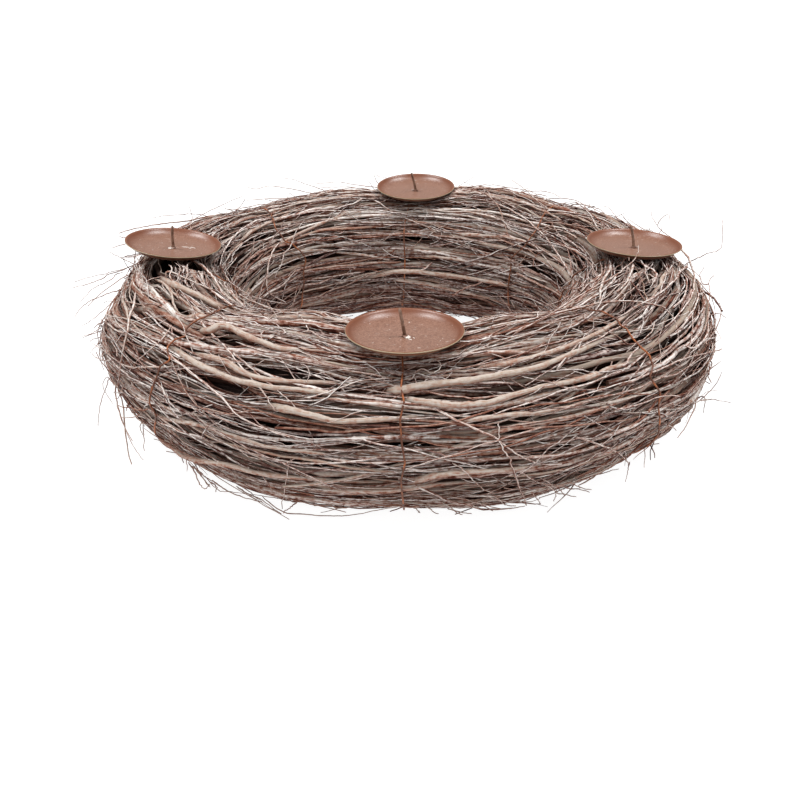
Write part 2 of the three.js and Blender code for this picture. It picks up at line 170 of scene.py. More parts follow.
# Stray twigs of the frame: lane, start and end round the ring, and where round the section
# the tip points. The first four end at the furthest reach.
STRAY_REACH = 208 * MM  # from the middle of the hole
STRAY_RISE = 8 * MM  # of the other tips over the tube
STRAY_ROOT = 5 * MM  # depth of the roots
STRAY_RADIUS = 0.55 * MM
STRAY_WAVE = 0.25 * MM  # how far they stray from their even way
STRAY_STEPS = 16
STRAYS = (
    ("outer_high", 152, 180, 8),
    ("outer_high", 297, 270, 6),
    ("outer_high", -28, 0, 10),
    ("outer_low", 62, 90, -2),
    ("outer_top", 15, 40, 52),
    ("outer_top", 108, 131, 50),
    ("outer_top", 197, 220, 56),
    ("inner_top", 20, 41, 130),
    ("inner_top", 152, 130, 128),
    ("inner_high", 243, 222, 158),
    ("outer_low", 199, 222, -20),
    ("outer_low", 341, 318, -18),
)
FURTHEST_STRAYS = 4

# What sets apart the stout, medium and fine twigs of a bundle
KINDS = ("stout", "medium", "fine")
KIND_VALUES = {
    "inside": (1.2, 0.62, 0.75),  # how many lie at the hole and the ground, of those outside
    "length": ((150, 330), (90, 260), (50, 170)),  # millimetres
    # Two numbers that shape the spread of depths, then its reach and start in millimetres
    "depth": ((1.1, 2.2, 7, 2), (1.0, 1.6, 10, 1), (0.9, 2.2, 9, -0.4)),
    "spread": (0.16, 0.24, 0.25),  # of the radius
    "tip": (0.55, 0.5, 0.4),  # radius at the tip, of that at the butt
    "wild": (0.05, 0.09, 0.2),  # share that lies at a slant
    "rising": (0.0, 0.06, 0.22),  # share whose tips stand up, and how far they rise
    "rise": (1 * MM, 3 * MM, 4.5 * MM),
    "curl": (3, 5, 12),  # degrees along the twig
    "kinks": (1.6, 1.9, 3.6),  # degrees at each step
    "tone": (0.84, 0.6, 0.35),  # of the bark, from dark to grey
    "wash": (0.5, 1.0, 1.05),  # how much paint it took
    "bury": (4.5 * MM, 3 * MM, 1.5 * MM),  # how deep the ends are hidden
    "steps": (36, 28, 22),  # points along the twig
}

LANE_OVERLAP = 0.55  # how far a bundle's twigs lie from the middle of its lane, in lanes
OVERHANG = (math.radians(3), math.radians(15))  # least and most that twigs pass a bundle's end
SLANT = math.radians(2.2)  # spread of the twigs' slant, and of that of the wild ones
WILD_SLANT = math.radians(11)
SWAY = 0.32 * MM  # how far a twig strays in and out at each step
SWAY_KEPT = 0.75  # share of the sway, and of a kink, that stays at the next step
KINK_KEPT = 0.6
END_SHARE = 0.06  # part of a twig over which its end comes out of the others
TONE_SPREAD = 0.26
WASH_SPREAD = 0.65
MOST_WASH = 2.2
KNOTS = 0.12  # share of a twig's points that are knots
KNOT_SIZE = 0.16  # how much thicker it is there

# Side shoots: how they look, mean and spread, and the share that stands off or curls up
SHOOT_TURN = (math.radians(24), math.radians(13))  # off the twig's own way
SHOOT_TONE = (0.35, 0.25)
SHOOT_WASH = (1.4, 0.8)
SHOOTS_OUTWARD = 0.3
SHOOTS_CURLY = 0.12
SHOOT_CURL = 2.2  # radians
SHOOT_RADII = 0.25  # spread of the radii
SHOOT_TIPS = (0.3, 0.6)  # share of it that the tip keeps, least and most
SHOOT_RISE = (2.0, 3.0 * MM)  # shape and scale of how far the tips of those that stand off rise
SHOOT_LIFT = (0.6, 0.5)  # mean and spread of how far the others' tips rise, in millimetres
SHOOT_BEND = -0.6  # share of its turn that a plain shoot bends back
SHOOT_LENGTHS = (3.0, 8.0)  # shape and scale of the spread of lengths, in millimetres
SHORTEST_SHOOT = 6
CURLY_SHOOT = 24
SHOOT_SUNK = 3 * MM  # how deep it may start
SHOOT_STEPS = 9
SHOOT_KINKS = math.radians(9)

# What keeps the random orders of the groups apart
CORE_SEED, WIRE_SEED, WELD_SEED, LANDMARK_SEED = 100, 200, 300, 400

# How much of the paint reached the lanes in the hole and underneath, and with it how far a painted
# shade darkens their bark
PAINT_REACH_AND_SHADE = {"inner_high": 0.75, "inner_low": 0.5, "inner_foot": 0.4, "foot": 0.3}
LANE_SHADE_TONE = 0.35  # painted shade: how much darker the bark is in the hole and underneath, in step with the paint that did not reach

# Where the twigs lie fuller or flatter than an even ring: place round the ring and round the
# section and the reach along both, in degrees, and how far the surface moves
FORM = (
    (214, -42, 34, 30, -3.5 * MM),
    (212, -4, 16, 26, -5.0 * MM),
    (184, 38, 13, 26, -4.5 * MM),
    (-7, 34, 18, 34, 5.5 * MM),
    (-24, -30, 16, 30, 2.0 * MM),
    (-108, 112, 12, 24, 4.0 * MM),
    (-65, 112, 9, 24, 2.5 * MM),
    (56, 68, 26, 36, 5.2 * MM),
    (24, 72, 18, 34, 2.0 * MM),
    (100, 66, 14, 30, 2.0 * MM),
    (-92, 114, 42, 24, 2.6 * MM),
    (90, 212, 60, 28, 2.5 * MM),
)

# How a twig that catches the eye looks and lies: tone, whitewash, and how far it stands off
# the surface at its root, on its way and at its tip, in millimetres
Look = collections.namedtuple("Look", "tone wash root way tip")
PROUD = Look(0.9, 0.3, -5.0, 0.6, -5.0)
LAID = Look(0.82, 0.4, -5.0, -0.5, -5.0)
MERGED = Look(0.72, 0.4, -5.0, -0.9, -5.0)
OVER = Look(0.6, 1.3, -1.8, 1.0, 0.6)
HUMPED = Look(0.92, 0.35, -8.0, 2.2, -5.0)
LOOSE = Look(0.55, 1.1, -2.0, 1.4, 3.0)
ARCHED = Look(0.5, 0.9, -1.5, 6.5, 14.0)
STRAY = Look(0.45, 0.8, -5.0, 0.0, 0.0)
WISP = Look(0.42, 0.5, -2.0, 0.0, 0.0)

STOUT_FROM = 1.25  # the radius in millimetres from which such a twig is stout
ON_ITS_WAY = (0.13, 0.7)  # where along a twig its way starts and ends, from root to tip
LANDMARK_WAVE = (0.0012, 0.0025, 0.1 * MM)  # unevenness in the two angles and in the depth
LANDMARK_STEPS = 5  # for each pixel of a twig
LANDMARK_TIP = 0.5  # by how much it is thinner at the tip
BUTT = 0.45  # share of its radius that it starts with, and over which share of it this grows
BUTT_SHARE = 0.12

# Twigs that catch the eye in the photograph: radius at the butt in millimetres, how it looks
# and lies, and the pixels that it passes
LANDMARKS = {
    "under_left_plate": (2.2, PROUD, (
        (161, 277), (174, 285), (188, 291), (201, 297), (216, 305), (228, 311), (266, 324))),
    "left_bend": (1, LAID, (
        (125, 290), (125, 305), (128, 318), (133, 324), (143, 334), (154, 343), (190, 357))),
    "left_upper_bend": (0.9, LAID, (
        (155, 279), (163, 283), (171, 293), (174, 305), (181, 315), (193, 321))),
    "left_outer": (0.7, OVER, (
        (137, 289), (134, 305), (129, 318), (128, 330), (124, 346), (121, 363), (119, 380),
        (122, 400), (125, 430), (131, 464))),
    "humped": (2.1, HUMPED, (
        (198, 333), (210, 330), (220, 326), (231, 328), (245, 335), (265, 343), (282, 349),
        (313, 351), (350, 356))),
    "middle_left_high": (1.9, PROUD, (
        (190, 353), (220, 360), (245, 373), (270, 380), (315, 382), (362, 385))),
    "middle_left": (1.85, PROUD, (
        (165, 341), (200, 365), (230, 378), (265, 386), (302, 390), (340, 395), (392, 398))),
    "centre_left": (2.0, PROUD, (
        (262, 404), (290, 410), (315, 416), (340, 421), (398, 418), (445, 414))),
    "long_medium_left": (1.3, LAID, (
        (150, 408), (190, 423), (230, 435), (265, 446), (300, 451), (345, 455), (398, 453))),
    "low_left": (1.7, PROUD, (
        (172, 446), (215, 463), (253, 472), (290, 477), (328, 480), (402, 481))),
    "rim_low_left": (1.5, MERGED, (
        (158, 437), (180, 452), (198, 463), (230, 479), (268, 490))),
    "medium_left": (0.8, OVER, (
        (150, 338), (170, 355), (197, 377), (222, 398), (235, 413), (255, 425), (290, 437))),
    "long_right": (2.1, PROUD, (
        (384, 391), (400, 390), (425, 385), (463, 381), (500, 375), (535, 368), (562, 358),
        (590, 346), (620, 332), (645, 312))),
    "below_long_right": (1.9, PROUD, (
        (396, 398), (425, 402), (452, 405), (485, 403), (520, 393), (550, 385), (590, 378),
        (628, 366))),
    "beneath_plate": (1.9, MERGED, (
        (372, 358), (400, 356), (433, 356), (483, 354), (520, 350), (562, 341))),
    "top_right": (1.7, LAID, (
        (470, 371), (510, 363), (560, 349), (600, 332), (630, 312), (650, 290))),
    "centre_right": (1.4, LAID, (
        (425, 425), (470, 420), (505, 415), (540, 412), (575, 405), (602, 395), (652, 368))),
    "mid_low_right": (1.5, MERGED, (
        (470, 437), (500, 430), (540, 423), (600, 409), (640, 391), (670, 362))),
    "low_right": (1.7, PROUD, (
        (404, 481), (433, 476), (468, 472), (505, 470), (535, 466), (590, 451))),
    "front_foot": (1.6, MERGED, ((300, 484), (350, 491), (400, 490), (440, 484), (485, 480))),
    "forked_right": (1.7, LAID, (
        (552, 386), (585, 378), (598, 374), (608, 369), (620, 366), (633, 361), (660, 345))),
    "fork_right": (0.9, OVER, ((617, 367), (626, 364), (631, 355), (638, 348))),
    "under_right_plate": (1.5, LAID, ((667, 263), (664, 276), (660, 286), (648, 298))),
    "hollow_twig_middle": (1, OVER, ((632, 262), (631, 272), (627, 282), (617, 292))),
    "hollow_twig_left": (1.1, OVER, ((610, 262), (606, 276), (601, 288), (600, 300))),
    "round_right": (0.8, OVER, (
        (678, 246), (687, 256), (692, 268), (694, 282), (693, 293), (686, 305), (665, 327))),
    "white_right": (0.8, OVER, (
        (687, 264), (681, 271), (677, 278), (666, 288), (653, 298), (637, 306), (617, 318))),
    "curled_right": (0.7, OVER, (
        (708, 320), (707, 334), (701, 343), (693, 348), (684, 346), (676, 350))),
    "far_right": (0.75, STRAY, (
        (612, 389), (630, 382), (649, 374), (667, 366), (684, 359), (697, 355), (722, 349))),
    "over_right": (0.8, OVER, (
        (505, 335), (528, 326), (557, 313), (591, 305), (622, 301), (652, 304), (666, 308))),
    "over_right_plate": (0.5, ARCHED, (
        (545, 317), (577, 297), (596, 286), (612, 278), (625, 268), (634, 260), (638, 253),
        (638, 245))),
    "inside_right": (1.8, LAID, ((432, 232), (470, 235), (510, 238), (535, 246), (572, 270))),
    "over_back": (0.8, OVER, (
        (482, 200), (505, 207), (524, 218), (540, 232), (558, 254), (570, 276))),
    "over_back_wall": (0.6, OVER, ((368, 198), (385, 207), (400, 216), (420, 224), (440, 232))),
    "back_wall": (2, PROUD, (
        (345, 284), (392, 272), (437, 274), (475, 279), (513, 287), (545, 299))),
    "back_wall_low": (1.9, LAID, (
        (385, 279), (400, 280), (432, 285), (463, 292), (500, 300), (530, 308))),
    "back_wall_high": (1.3, LAID, ((404, 256), (437, 257), (470, 262), (505, 268))),
    "back_slope": (1.4, LAID, ((262, 256), (297, 235), (340, 216), (376, 207))),
    "back_slope_left": (1.3, LAID, ((228, 256), (250, 233), (280, 218), (320, 202))),
    "back_left": (0.7, OVER, (
        (283, 240), (271, 255), (267, 275), (268, 292), (280, 303), (284, 313))),
    "back_left_fork": (0.8, OVER, ((256, 303), (270, 292), (284, 284), (296, 270))),
    "from_left_plate": (1.05, OVER, ((186, 257), (201, 265), (212, 276), (218, 285), (225, 296))),
    "left_hollow_twig": (0.7, OVER, (
        (166, 277), (167, 272), (174, 273), (187, 279), (203, 286), (212, 290))),
    "left_hollow_curl": (0.5, OVER, (
        (169, 264), (172, 268), (170, 275), (173, 281), (178, 279), (180, 268), (176, 263))),
    "left_hollow_hook": (0.45, OVER, (
        (190, 262), (187, 267), (188, 275), (185, 281), (190, 287), (196, 281))),
    "right_hollow_curl": (0.5, OVER, ((645, 262), (645, 272), (650, 284))),
    "right_hollow_hook": (0.5, OVER, ((600, 262), (593, 268), (588, 276), (592, 285))),
    "crossing_left": (0.6, OVER, (
        (192, 309), (206, 328), (224, 346), (237, 362), (251, 378), (264, 393), (275, 411))),
    "crossing_fork": (0.5, OVER, (
        (228, 349), (244, 362), (260, 376), (276, 389), (291, 402), (298, 413))),
    "white_left_long": (0.4, OVER, ((172, 326), (163, 338), (153, 347), (143, 356), (127, 374))),
    "white_left": (0.45, OVER, ((236, 342), (260, 350), (283, 353), (299, 351), (318, 361))),
    "white_top": (0.45, OVER, ((300, 334), (310, 331), (322, 338), (333, 339), (341, 333))),
    "white_middle": (0.5, OVER, (
        (298, 399), (315, 396), (340, 388), (360, 381), (388, 378))),
    "white_upper_right": (0.45, OVER, (
        (470, 352), (500, 340), (530, 333), (555, 322), (578, 318))),
    "spur_right": (0.6, OVER, ((555, 372), (562, 362), (570, 352), (580, 342))),
    "forked_front": (0.75, LOOSE, (
        (428, 405), (452, 418), (475, 429), (497, 439), (504, 450), (511, 462), (518, 484),
        (526, 505))),
    "front_fork": (0.55, OVER, ((497, 439), (511, 450), (524, 458), (541, 464), (562, 464))),
    "front_low_fork": (0.5, LOOSE, ((513, 468), (527, 476), (540, 483), (560, 488))),
    "front_spur": (0.5, OVER, ((498, 442), (499, 432), (498, 422))),
    "curl_front": (0.4, OVER, (
        (404, 378), (411, 379), (417, 371), (424, 369), (430, 373), (437, 371), (441, 366),
        (436, 360), (428, 363))),
    "curl_front_low": (0.35, OVER, (
        (413, 372), (416, 382), (419, 385), (428, 379), (438, 381), (447, 378), (452, 372))),
    "front_hook": (0.4, OVER, ((445, 352), (456, 355), (466, 350), (478, 345), (492, 347))),
    "hanging_front": (0.4, LOOSE, ((290, 459), (287, 475), (284, 492), (282, 509))),
    "hanging_front_fork": (0.4, OVER, ((276, 459), (286, 463), (294, 459))),
    "tip_low_right": (0.6, LOOSE, ((572, 436), (600, 445), (617, 452), (629, 465))),
    "tuft_low": (0.9, LOOSE, ((415, 485), (432, 493), (447, 500), (462, 504), (478, 502))),
    "tuft_low_fork": (0.4, LOOSE, ((448, 503), (466, 505), (490, 510), (515, 508))),
    "low_edge": (0.35, STRAY, (
        (262, 496), (283, 512), (305, 514), (330, 516), (352, 515), (378, 510), (400, 506))),
    "low_edge_left": (0.25, STRAY, ((205, 476), (218, 490), (232, 492), (250, 496), (281, 514))),
    "low_spur_left": (0.36, STRAY, ((186, 452), (194, 463), (202, 477), (209, 487))),
    "low_spur": (0.32, STRAY, ((143, 425), (144, 438), (144, 451))),
    "low_hang": (0.29, STRAY, ((118, 405), (125, 428), (133, 446), (143, 460))),
    "left_drop": (0.36, STRAY, ((120, 366), (115, 373), (107, 385), (102, 398), (98, 426))),
    "left_drop_fork": (0.29, STRAY, ((119, 386), (111, 381), (107, 377), (103, 386), (113, 404))),
    "left_far_high": (0.32, STRAY, ((148, 264), (138, 265), (123, 269), (105, 274), (74, 282))),
    "left_far": (0.36, STRAY, ((136, 264), (120, 271), (105, 277), (94, 282), (84, 285), (73, 288))),
    "left_far_low": (0.36, STRAY, (
        (126, 289), (119, 291), (109, 293), (100, 297), (90, 301), (80, 309), (75, 317))),
    "left_far_faint": (0.3, WISP, ((124, 272), (114, 277), (105, 283), (94, 288), (80, 302))),
    "left_spur_high": (0.32, STRAY, ((138, 266), (123, 259), (109, 252))),
    "left_fringe_high": (0.29, STRAY, ((112, 302), (104, 310), (93, 319), (82, 326))),
    "left_fringe": (0.29, STRAY, ((102, 327), (96, 331), (90, 334), (82, 337))),
    "left_fringe_low": (0.29, STRAY, ((104, 334), (101, 339), (96, 346), (90, 353))),
    "left_fringe_hook": (0.32, STRAY, (
        (111, 309), (102, 321), (98, 332), (99, 346), (101, 361), (104, 370))),
    "behind_left_plate": (0.6, STRAY, (
        (222, 214), (205, 217), (187, 221), (170, 223), (154, 225), (138, 228), (119, 233))),
    "above_left_plate": (0.3, WISP, (
        (214, 219), (203, 215), (190, 214), (177, 215), (163, 216), (153, 218))),
    "beside_left_plate": (0.38, WISP, ((150, 240), (127, 238), (118, 236))),
    "beside_left_plate_low": (0.38, WISP, ((150, 243), (127, 244), (118, 246), (112, 248))),
    "back_rim_loop": (0.55, STRAY, ((290, 204), (298, 200), (308, 196), (320, 194), (342, 196))),
    "back_rim_long": (0.36, STRAY, (
        (382, 190), (374, 187), (364, 186), (351, 184), (339, 182), (325, 183), (314, 184))),
    "back_rim_low": (0.36, STRAY, ((376, 191), (365, 189), (348, 187), (335, 187), (318, 188))),
    "back_rim_wisp": (0.35, WISP, (
        (318, 198), (310, 193), (297, 190), (285, 188), (270, 186), (256, 189), (247, 187))),
    "back_rim_wisp_high": (0.3, WISP, ((330, 194), (318, 188), (305, 184), (295, 180), (284, 178))),
    "back_plate_wisp": (0.3, WISP, ((384, 190), (377, 182), (375, 175), (381, 177), (388, 178))),
    "back_right_wisp": (0.3, WISP, (
        (535, 199), (515, 193), (490, 188), (474, 186), (462, 181))),
    "rim_right_wisp": (0.3, WISP, ((556, 206), (568, 202), (577, 203), (589, 207))),
    "rim_right_spur": (0.32, STRAY, ((622, 225), (618, 220), (614, 214), (609, 208), (603, 206))),
    "rim_far_right": (0.32, STRAY, (
        (678, 242), (669, 236), (662, 231), (657, 225), (653, 219), (651, 212))),
    "rim_far_right_fork": (0.29, STRAY, ((657, 226), (661, 219), (669, 215), (670, 229))),
    "stray_right": (0.35, WISP, (
        (683, 266), (691, 261), (698, 258), (709, 253), (717, 251), (722, 244), (722, 220))),
    "wisp_right": (0.36, STRAY, ((707, 308), (710, 294), (709, 282), (714, 275))),
    "wisp_right_fork": (0.35, WISP, ((709, 284), (703, 284), (700, 276), (704, 267))),
    "wisp_right_low": (0.35, WISP, ((706, 316), (714, 314), (720, 314), (726, 318))),
    "stray_right_low": (0.36, STRAY, ((690, 405), (699, 401), (707, 394), (716, 384), (722, 372))),
    "spur_far_right": (0.36, STRAY, ((706, 372), (713, 367), (721, 361))),
    "drop_right": (0.29, STRAY, ((630, 462), (628, 468), (626, 482))),
}

# Thin twigs that end along the lower and the far edge: the pixels that each one passes
FRINGE_RADIUS = 0.42
FRINGE = (
    ((438, 500), (450, 507), (460, 512), (472, 514)),
    ((440, 505), (452, 510), (462, 515)),
    ((416, 502), (428, 508), (438, 514)),
    ((410, 504), (416, 509), (420, 513)),
    ((450, 500), (470, 504), (488, 509), (512, 508)),
    ((446, 496), (468, 500), (482, 505), (493, 511)),
    ((466, 500), (486, 505), (506, 509), (526, 506)),
    ((484, 496), (502, 501), (520, 503), (541, 504)),
    ((492, 494), (500, 500), (506, 505), (516, 506)),
    ((528, 490), (535, 496), (541, 504)),
    ((540, 483), (551, 488), (562, 494), (576, 497)),
    ((556, 486), (561, 491), (565, 496)),
    ((556, 484), (568, 488), (578, 489), (590, 492)),
    ((562, 481), (574, 484), (582, 488), (591, 490)),
    ((572, 480), (582, 480), (590, 478)),
    ((538, 476), (548, 482), (556, 488), (556, 494), (554, 501)),
    ((452, 462), (463, 470), (475, 482), (484, 490), (494, 493)),
    ((598, 466), (610, 464), (620, 458)),
    ((236, 486), (248, 494), (262, 500), (281, 514)),
    ((212, 480), (226, 490), (242, 497), (262, 502)),
    ((210, 482), (216, 486), (216, 492)),
    ((188, 462), (195, 472), (199, 483), (205, 489), (210, 484)),
    ((196, 470), (203, 478), (210, 487)),
    ((192, 466), (204, 476), (216, 483)),
    ((300, 500), (292, 506), (283, 513)),
    ((458, 190), (474, 186), (492, 185), (510, 188)),
    ((476, 193), (498, 188), (520, 189), (538, 195)),
    ((512, 194), (530, 191), (548, 192), (560, 197)),
    ((540, 201), (556, 198), (574, 200), (586, 207)),
    ((566, 207), (580, 204), (596, 208), (604, 214)),
    ((372, 190), (356, 188), (342, 189), (326, 193)),
    ((350, 193), (334, 190), (318, 192), (304, 197)),
    ((312, 199), (298, 198), (284, 199), (270, 203)),
    ((276, 206), (262, 204), (248, 207), (236, 211)),
)

# Dark gaps between the twigs: the pixels of their two ends, and from their middle to one side
GAPS = (
    ((204, 377), (256, 395), (-1, 4.6)),
    ((250, 393), (356, 402), (0, 2.0)),
    ((312, 404), (398, 409), (0, 1.8)),
    ((280, 428), (318, 436), (0, 2.0)),
    ((168, 436), (240, 462), (-1, 3.2)),
    ((330, 466), (396, 463), (0, 1.6)),
    ((336, 501), (392, 491), (0, 2.4)),
    ((430, 490), (464, 484), (0, 3.4)),
    ((466, 397), (492, 391), (0, 1.8)),
    ((584, 372), (626, 356), (1, 3.0)),
    ((598, 382), (640, 368), (1, 2.0)),
    ((676, 363), (688, 344), (2, 1.2)),
    ((440, 300), (492, 306), (0, 2.2)),
    ((222, 336), (246, 342), (0, 2.6)),
    ((150, 350), (168, 362), (-1, 2.0)),
    ((176, 298), (190, 318), (2, -1.0)),
    ((164, 257), (164, 278), (5, 0)),
    ((191, 257), (200, 269), (4.5, -2)),
    ((616, 258), (618, 272), (5, 0)),
    ((638, 260), (636, 272), (4, 0)),
    ((660, 260), (656, 272), (4, 0)),
)

GAP_WIDER = 1.35  # the twigs' own thickness narrows a gap
WIDEST_GAP = math.radians(10)  # half of it, round the section
GAP_SINK = 0.6  # how deep the twigs beside a gap sink, as a share of its half width
GAP_FADE = 2.2  # half widths over which the push of a gap dies away, and to which it reaches
GAP_REACH = 6

# The pixels that each binding wire passes where the photograph shows it, by its number round
# the ring from the right
WIRE_PATHS = (
    ((577, 275), (569, 284), (564, 292), (561, 299)),
    ((534, 234), (524, 248), (512, 258), (511, 269), (509, 285), (509, 301)),
    ((404, 241), (405, 262), (404, 285)),
    ((271, 214), (275, 228), (284, 242), (292, 244), (301, 252), (305, 260), (303, 274),
     (302, 296)),
    ((222, 280), (231, 284), (235, 291)),
    ((217, 311), (206, 318), (186, 330), (185, 336), (175, 339), (168, 348), (170, 356),
     (172, 361), (162, 366), (157, 376), (153, 386), (152, 405), (156, 413), (159, 436),
     (167, 448)),
    ((402, 354), (403, 370), (401, 388), (404, 402), (400, 420), (402, 445), (405, 462),
     (401, 480), (403, 500), (404, 511)),
    ((589, 311), (601, 312), (609, 316), (616, 319), (620, 327), (626, 329), (631, 338),
     (641, 349), (649, 356), (652, 366), (649, 377), (654, 385), (660, 393), (657, 406),
     (659, 421), (656, 436)),
)

# Camera, fitted to the four plates and the outline
CAMERA_PLACE = Vector((-2.9, -592.2, 279.8)) * MM
CAMERA_TURN = Matrix.Rotation(math.radians(-0.07), 3, "Z") @ Matrix.Rotation(
    math.radians(63.6), 3, "X"
)
CAMERA_LENS = 43.0
SENSOR = 36.0
RAY = (0.3, 1.1)  # where a ray from the camera looks for the ring, in metres from the camera
RAY_STEPS = 4000

# Studio light: strength of the surround as light and as the camera sees it, glow of the floor,
# and each softbox's name, place, strength and width in degrees
SURROUND = 0.42
SURROUND_SEEN = 1.1
FLOOR_GLOW = 0.93
WHITE = (1.0, 1.0, 1.0)
SOFTBOXES = (
    ("left", (-0.46, 0.08, 0.88), 2.5, 20),
    ("right", (0.46, 0.08, 0.88), 2.5, 20),
    ("front", (-0.1, -0.8, 0.55), 1.0, 40),
)


def colour(code):
    """A linear colour from an sRGB hex value."""
    parts = [(code >> shift & 255) / 255 for shift in (16, 8, 0)]
    return tuple(c / 12.92 if c <= 0.04045 else ((c + 0.055) / 1.055) ** 2.4 for c in parts)


def length_prop(name, description, default):
    """A length that shows in the scene's own unit."""
    return bpy.props.FloatProperty(
        name=name, description=description, default=default, subtype="DISTANCE", unit="LENGTH"
    )


def count_prop(name, description, default):
    """A number of twigs or shoots."""
    return bpy.props.IntProperty(name=name, description=description, default=default, min=0)


def colour_prop(name, description, code):
    """A colour with its default as an sRGB hex value."""
    return bpy.props.FloatVectorProperty(
        name=name,
        description=description,
        default=colour(code),
        size=3,
        min=0,
        max=1,
        subtype="COLOR",
    )


class TwigSettings(bpy.types.PropertyGroup):
    """Numbers and thicknesses of the twigs."""

    stout: count_prop("Stout twigs", "In each bundle on the outside", 12)
    medium: count_prop("Medium twigs", "In each bundle on the outside", 58)
    fine: count_prop("Fine twigs", "In each bundle on the outside", 84)
    shoots: count_prop("Side shoots", "On each bundle on the outside", 104)
    core: count_prop("Core twigs", "In each quarter of the core", 230)
    stout_radius: length_prop("Stout radius", "Of a stout twig at its butt", 1.9 * MM)
    medium_radius: length_prop("Medium radius", "Of a medium twig at its butt", 1.2 * MM)
    fine_radius: length_prop("Fine radius", "Of a fine twig at its butt", 0.5 * MM)
    shoot_radius: length_prop("Shoot radius", "Of a side shoot at its root", 0.36 * MM)
    relief: bpy.props.FloatProperty(
        name="Bark relief",
        description="Unevenness of the bark as a share of the twig's radius",
        default=0.16,
        min=0,
        max=1,
        subtype="FACTOR",
    )
    seed: bpy.props.IntProperty(
        name="Seed", description="Starts the random order of the twigs", default=11
    )


class MetalSettings(bpy.types.PropertyGroup):
    """Sizes of the wires, plates, spikes and welds."""

    wire: length_prop("Binding wire", "Diameter of the binding wire", 1.0 * MM)
    twist: length_prop("Twist", "Length of the twisted ends of a wire", 8 * MM)
    plate: length_prop("Plate", "Diameter of a candle plate", 60 * MM)
    floor: length_prop("Plate floor", "Diameter of the flat middle of a plate", 43 * MM)
    depth: length_prop("Plate depth", "From a plate's edge down to its floor", 4 * MM)
    sheet: length_prop("Plate sheet", "Thickness of the plate's steel", 0.6 * MM)
    lip: length_prop("Plate lip", "Width of the flat edge of a plate", 1.2 * MM)
    spike: length_prop("Spike", "Diameter of a spike", 2.0 * MM)
    spike_tip: length_prop("Spike end", "Diameter of a spike below its point", 1.55 * MM)
    above: length_prop("Spike above", "Height of a spike over its plate", 15 * MM)
    below: length_prop("Spike below", "Length of a spike in the twigs", 42 * MM)
    point: length_prop("Lower point", "Length of the ground point in the twigs", 4 * MM)
    cut: length_prop("Upper point", "Length of the blunt point over the plate", 1.1 * MM)
    weld: length_prop("Weld", "Diameter of the weld on a plate", 5 * MM)
    weld_height: length_prop("Weld height", "Height of the weld on a plate", 1 * MM)


class ColourSettings(bpy.types.PropertyGroup):
    """Colours of the finishes."""

    bark_dark: colour_prop("Dark bark", "Thin young bark", 0x47221A)
    bark_red: colour_prop("Red bark", "Bark of fine twigs", 0x80503F)
    bark_brown: colour_prop("Brown bark", "Bark of medium twigs", 0x997869)
    bark_grey: colour_prop("Grey bark", "Smooth bark of stout twigs", 0xA09184)
    wash: colour_prop("Whitewash", "Thin white paint over the bark", 0xD3CCC7)
    # Painted shade: gap is the near black deep between the twigs
    gap: colour_prop("Gap", "Bare dusty bark deep between the twigs", 0x1E0D08)
    # Painted shade: core is bare bark darkened for the inside of the wreath
    core: colour_prop("Core bark", "Unpainted bark inside", 0x2E1B14)
    wire: colour_prop("Wire", "Rust on the binding wire", 0xA25C32)
    wire_dark: colour_prop("Dark wire", "Annealed skin of the wire", 0x5A3321)
    hoop: colour_prop("Hoop", "Annealed iron of the hoop", 0x3B3835)
    coat: colour_prop("Plate coat", "Powder coat of the plates", 0x886656)
    coat_dark: colour_prop("Dark coat", "Darker grain of the coat", 0x6B4A3B)
    # Painted shade: coat_wall_shade darkens a plate's wall
    coat_wall_shade: colour_prop("Coat on the wall", "Thicker coat on a plate's wall", 0x6E3C22)
    lip: colour_prop("Plate lip", "Coat worn thin at the edge", 0x9C9076)
    spike: colour_prop("Spike", "Steel of the spikes where it is rubbed", 0x8C7060)
    spike_dark: colour_prop("Dark spike", "Rusted steel of the spikes", 0x4E3424)
    weld: colour_prop("Weld", "Pale weld metal", 0xD2C8C0)
    floor: colour_prop("Floor", "Studio floor", 0x828282)


def settings():
    """The three groups of settings of the scene."""
    scene = bpy.context.scene
    return scene.wreath_twigs, scene.wreath_metal, scene.wreath_colours


def add_node(tree, kind, inputs=None, **options):
    """Adds a node, sets its options, and fills or links its inputs by identifier or name. A node
    among the inputs gives its first output in use."""
    node = tree.nodes.new(kind)
    for option, value in options.items():
        setattr(node, option, value)
    for key, value in (inputs or {}).items():
        named = [s for s in node.inputs if s.identifier == key] or [node.inputs[key]]
        if isinstance(value, bpy.types.Node):
            value = next(s for s in value.outputs if s.enabled)
        if isinstance(value, bpy.types.NodeSocket):
            tree.links.new(value, named[0])
        else:
            named[0].default_value = value
    return node


def add_object(name, data):
    """A new object in the scene."""
    made = bpy.data.objects.new(name, data)
    bpy.context.scene.collection.objects.link(made)
    return made


# Shape of the ring


def apart(first, second):
    """The smaller angle from the second to the first."""
    return (first - second + math.pi) % TURN - math.pi


def surface_radius(theta, phi):
    """Radius of the twigs' surface round the section: drawn in at each wire, and fuller or
    flatter here and there."""
    pitch = TURN / BINDINGS
    from_wire = np.abs((theta + pitch / 2) % pitch - pitch / 2) / (pitch / 2)
    radius = TUBE - BITE * (1 - from_wire) ** 1.5
    for around, section, reach, spread, rise in FORM:
        along = apart(theta, math.radians(around)) / math.radians(reach)
        across = apart(phi, math.radians(section)) / math.radians(spread)
        radius = radius + rise * np.exp(-(along**2) - across**2)
    return radius


def ring_point(theta, phi, rho):
    """Points by their angle round the ring and the section and distance from its centre."""
    reach = RING + rho * np.cos(phi)
    return np.stack(
        [reach * np.cos(theta), reach * np.sin(theta), HEIGHT + rho * np.sin(phi)], axis=-1
    )


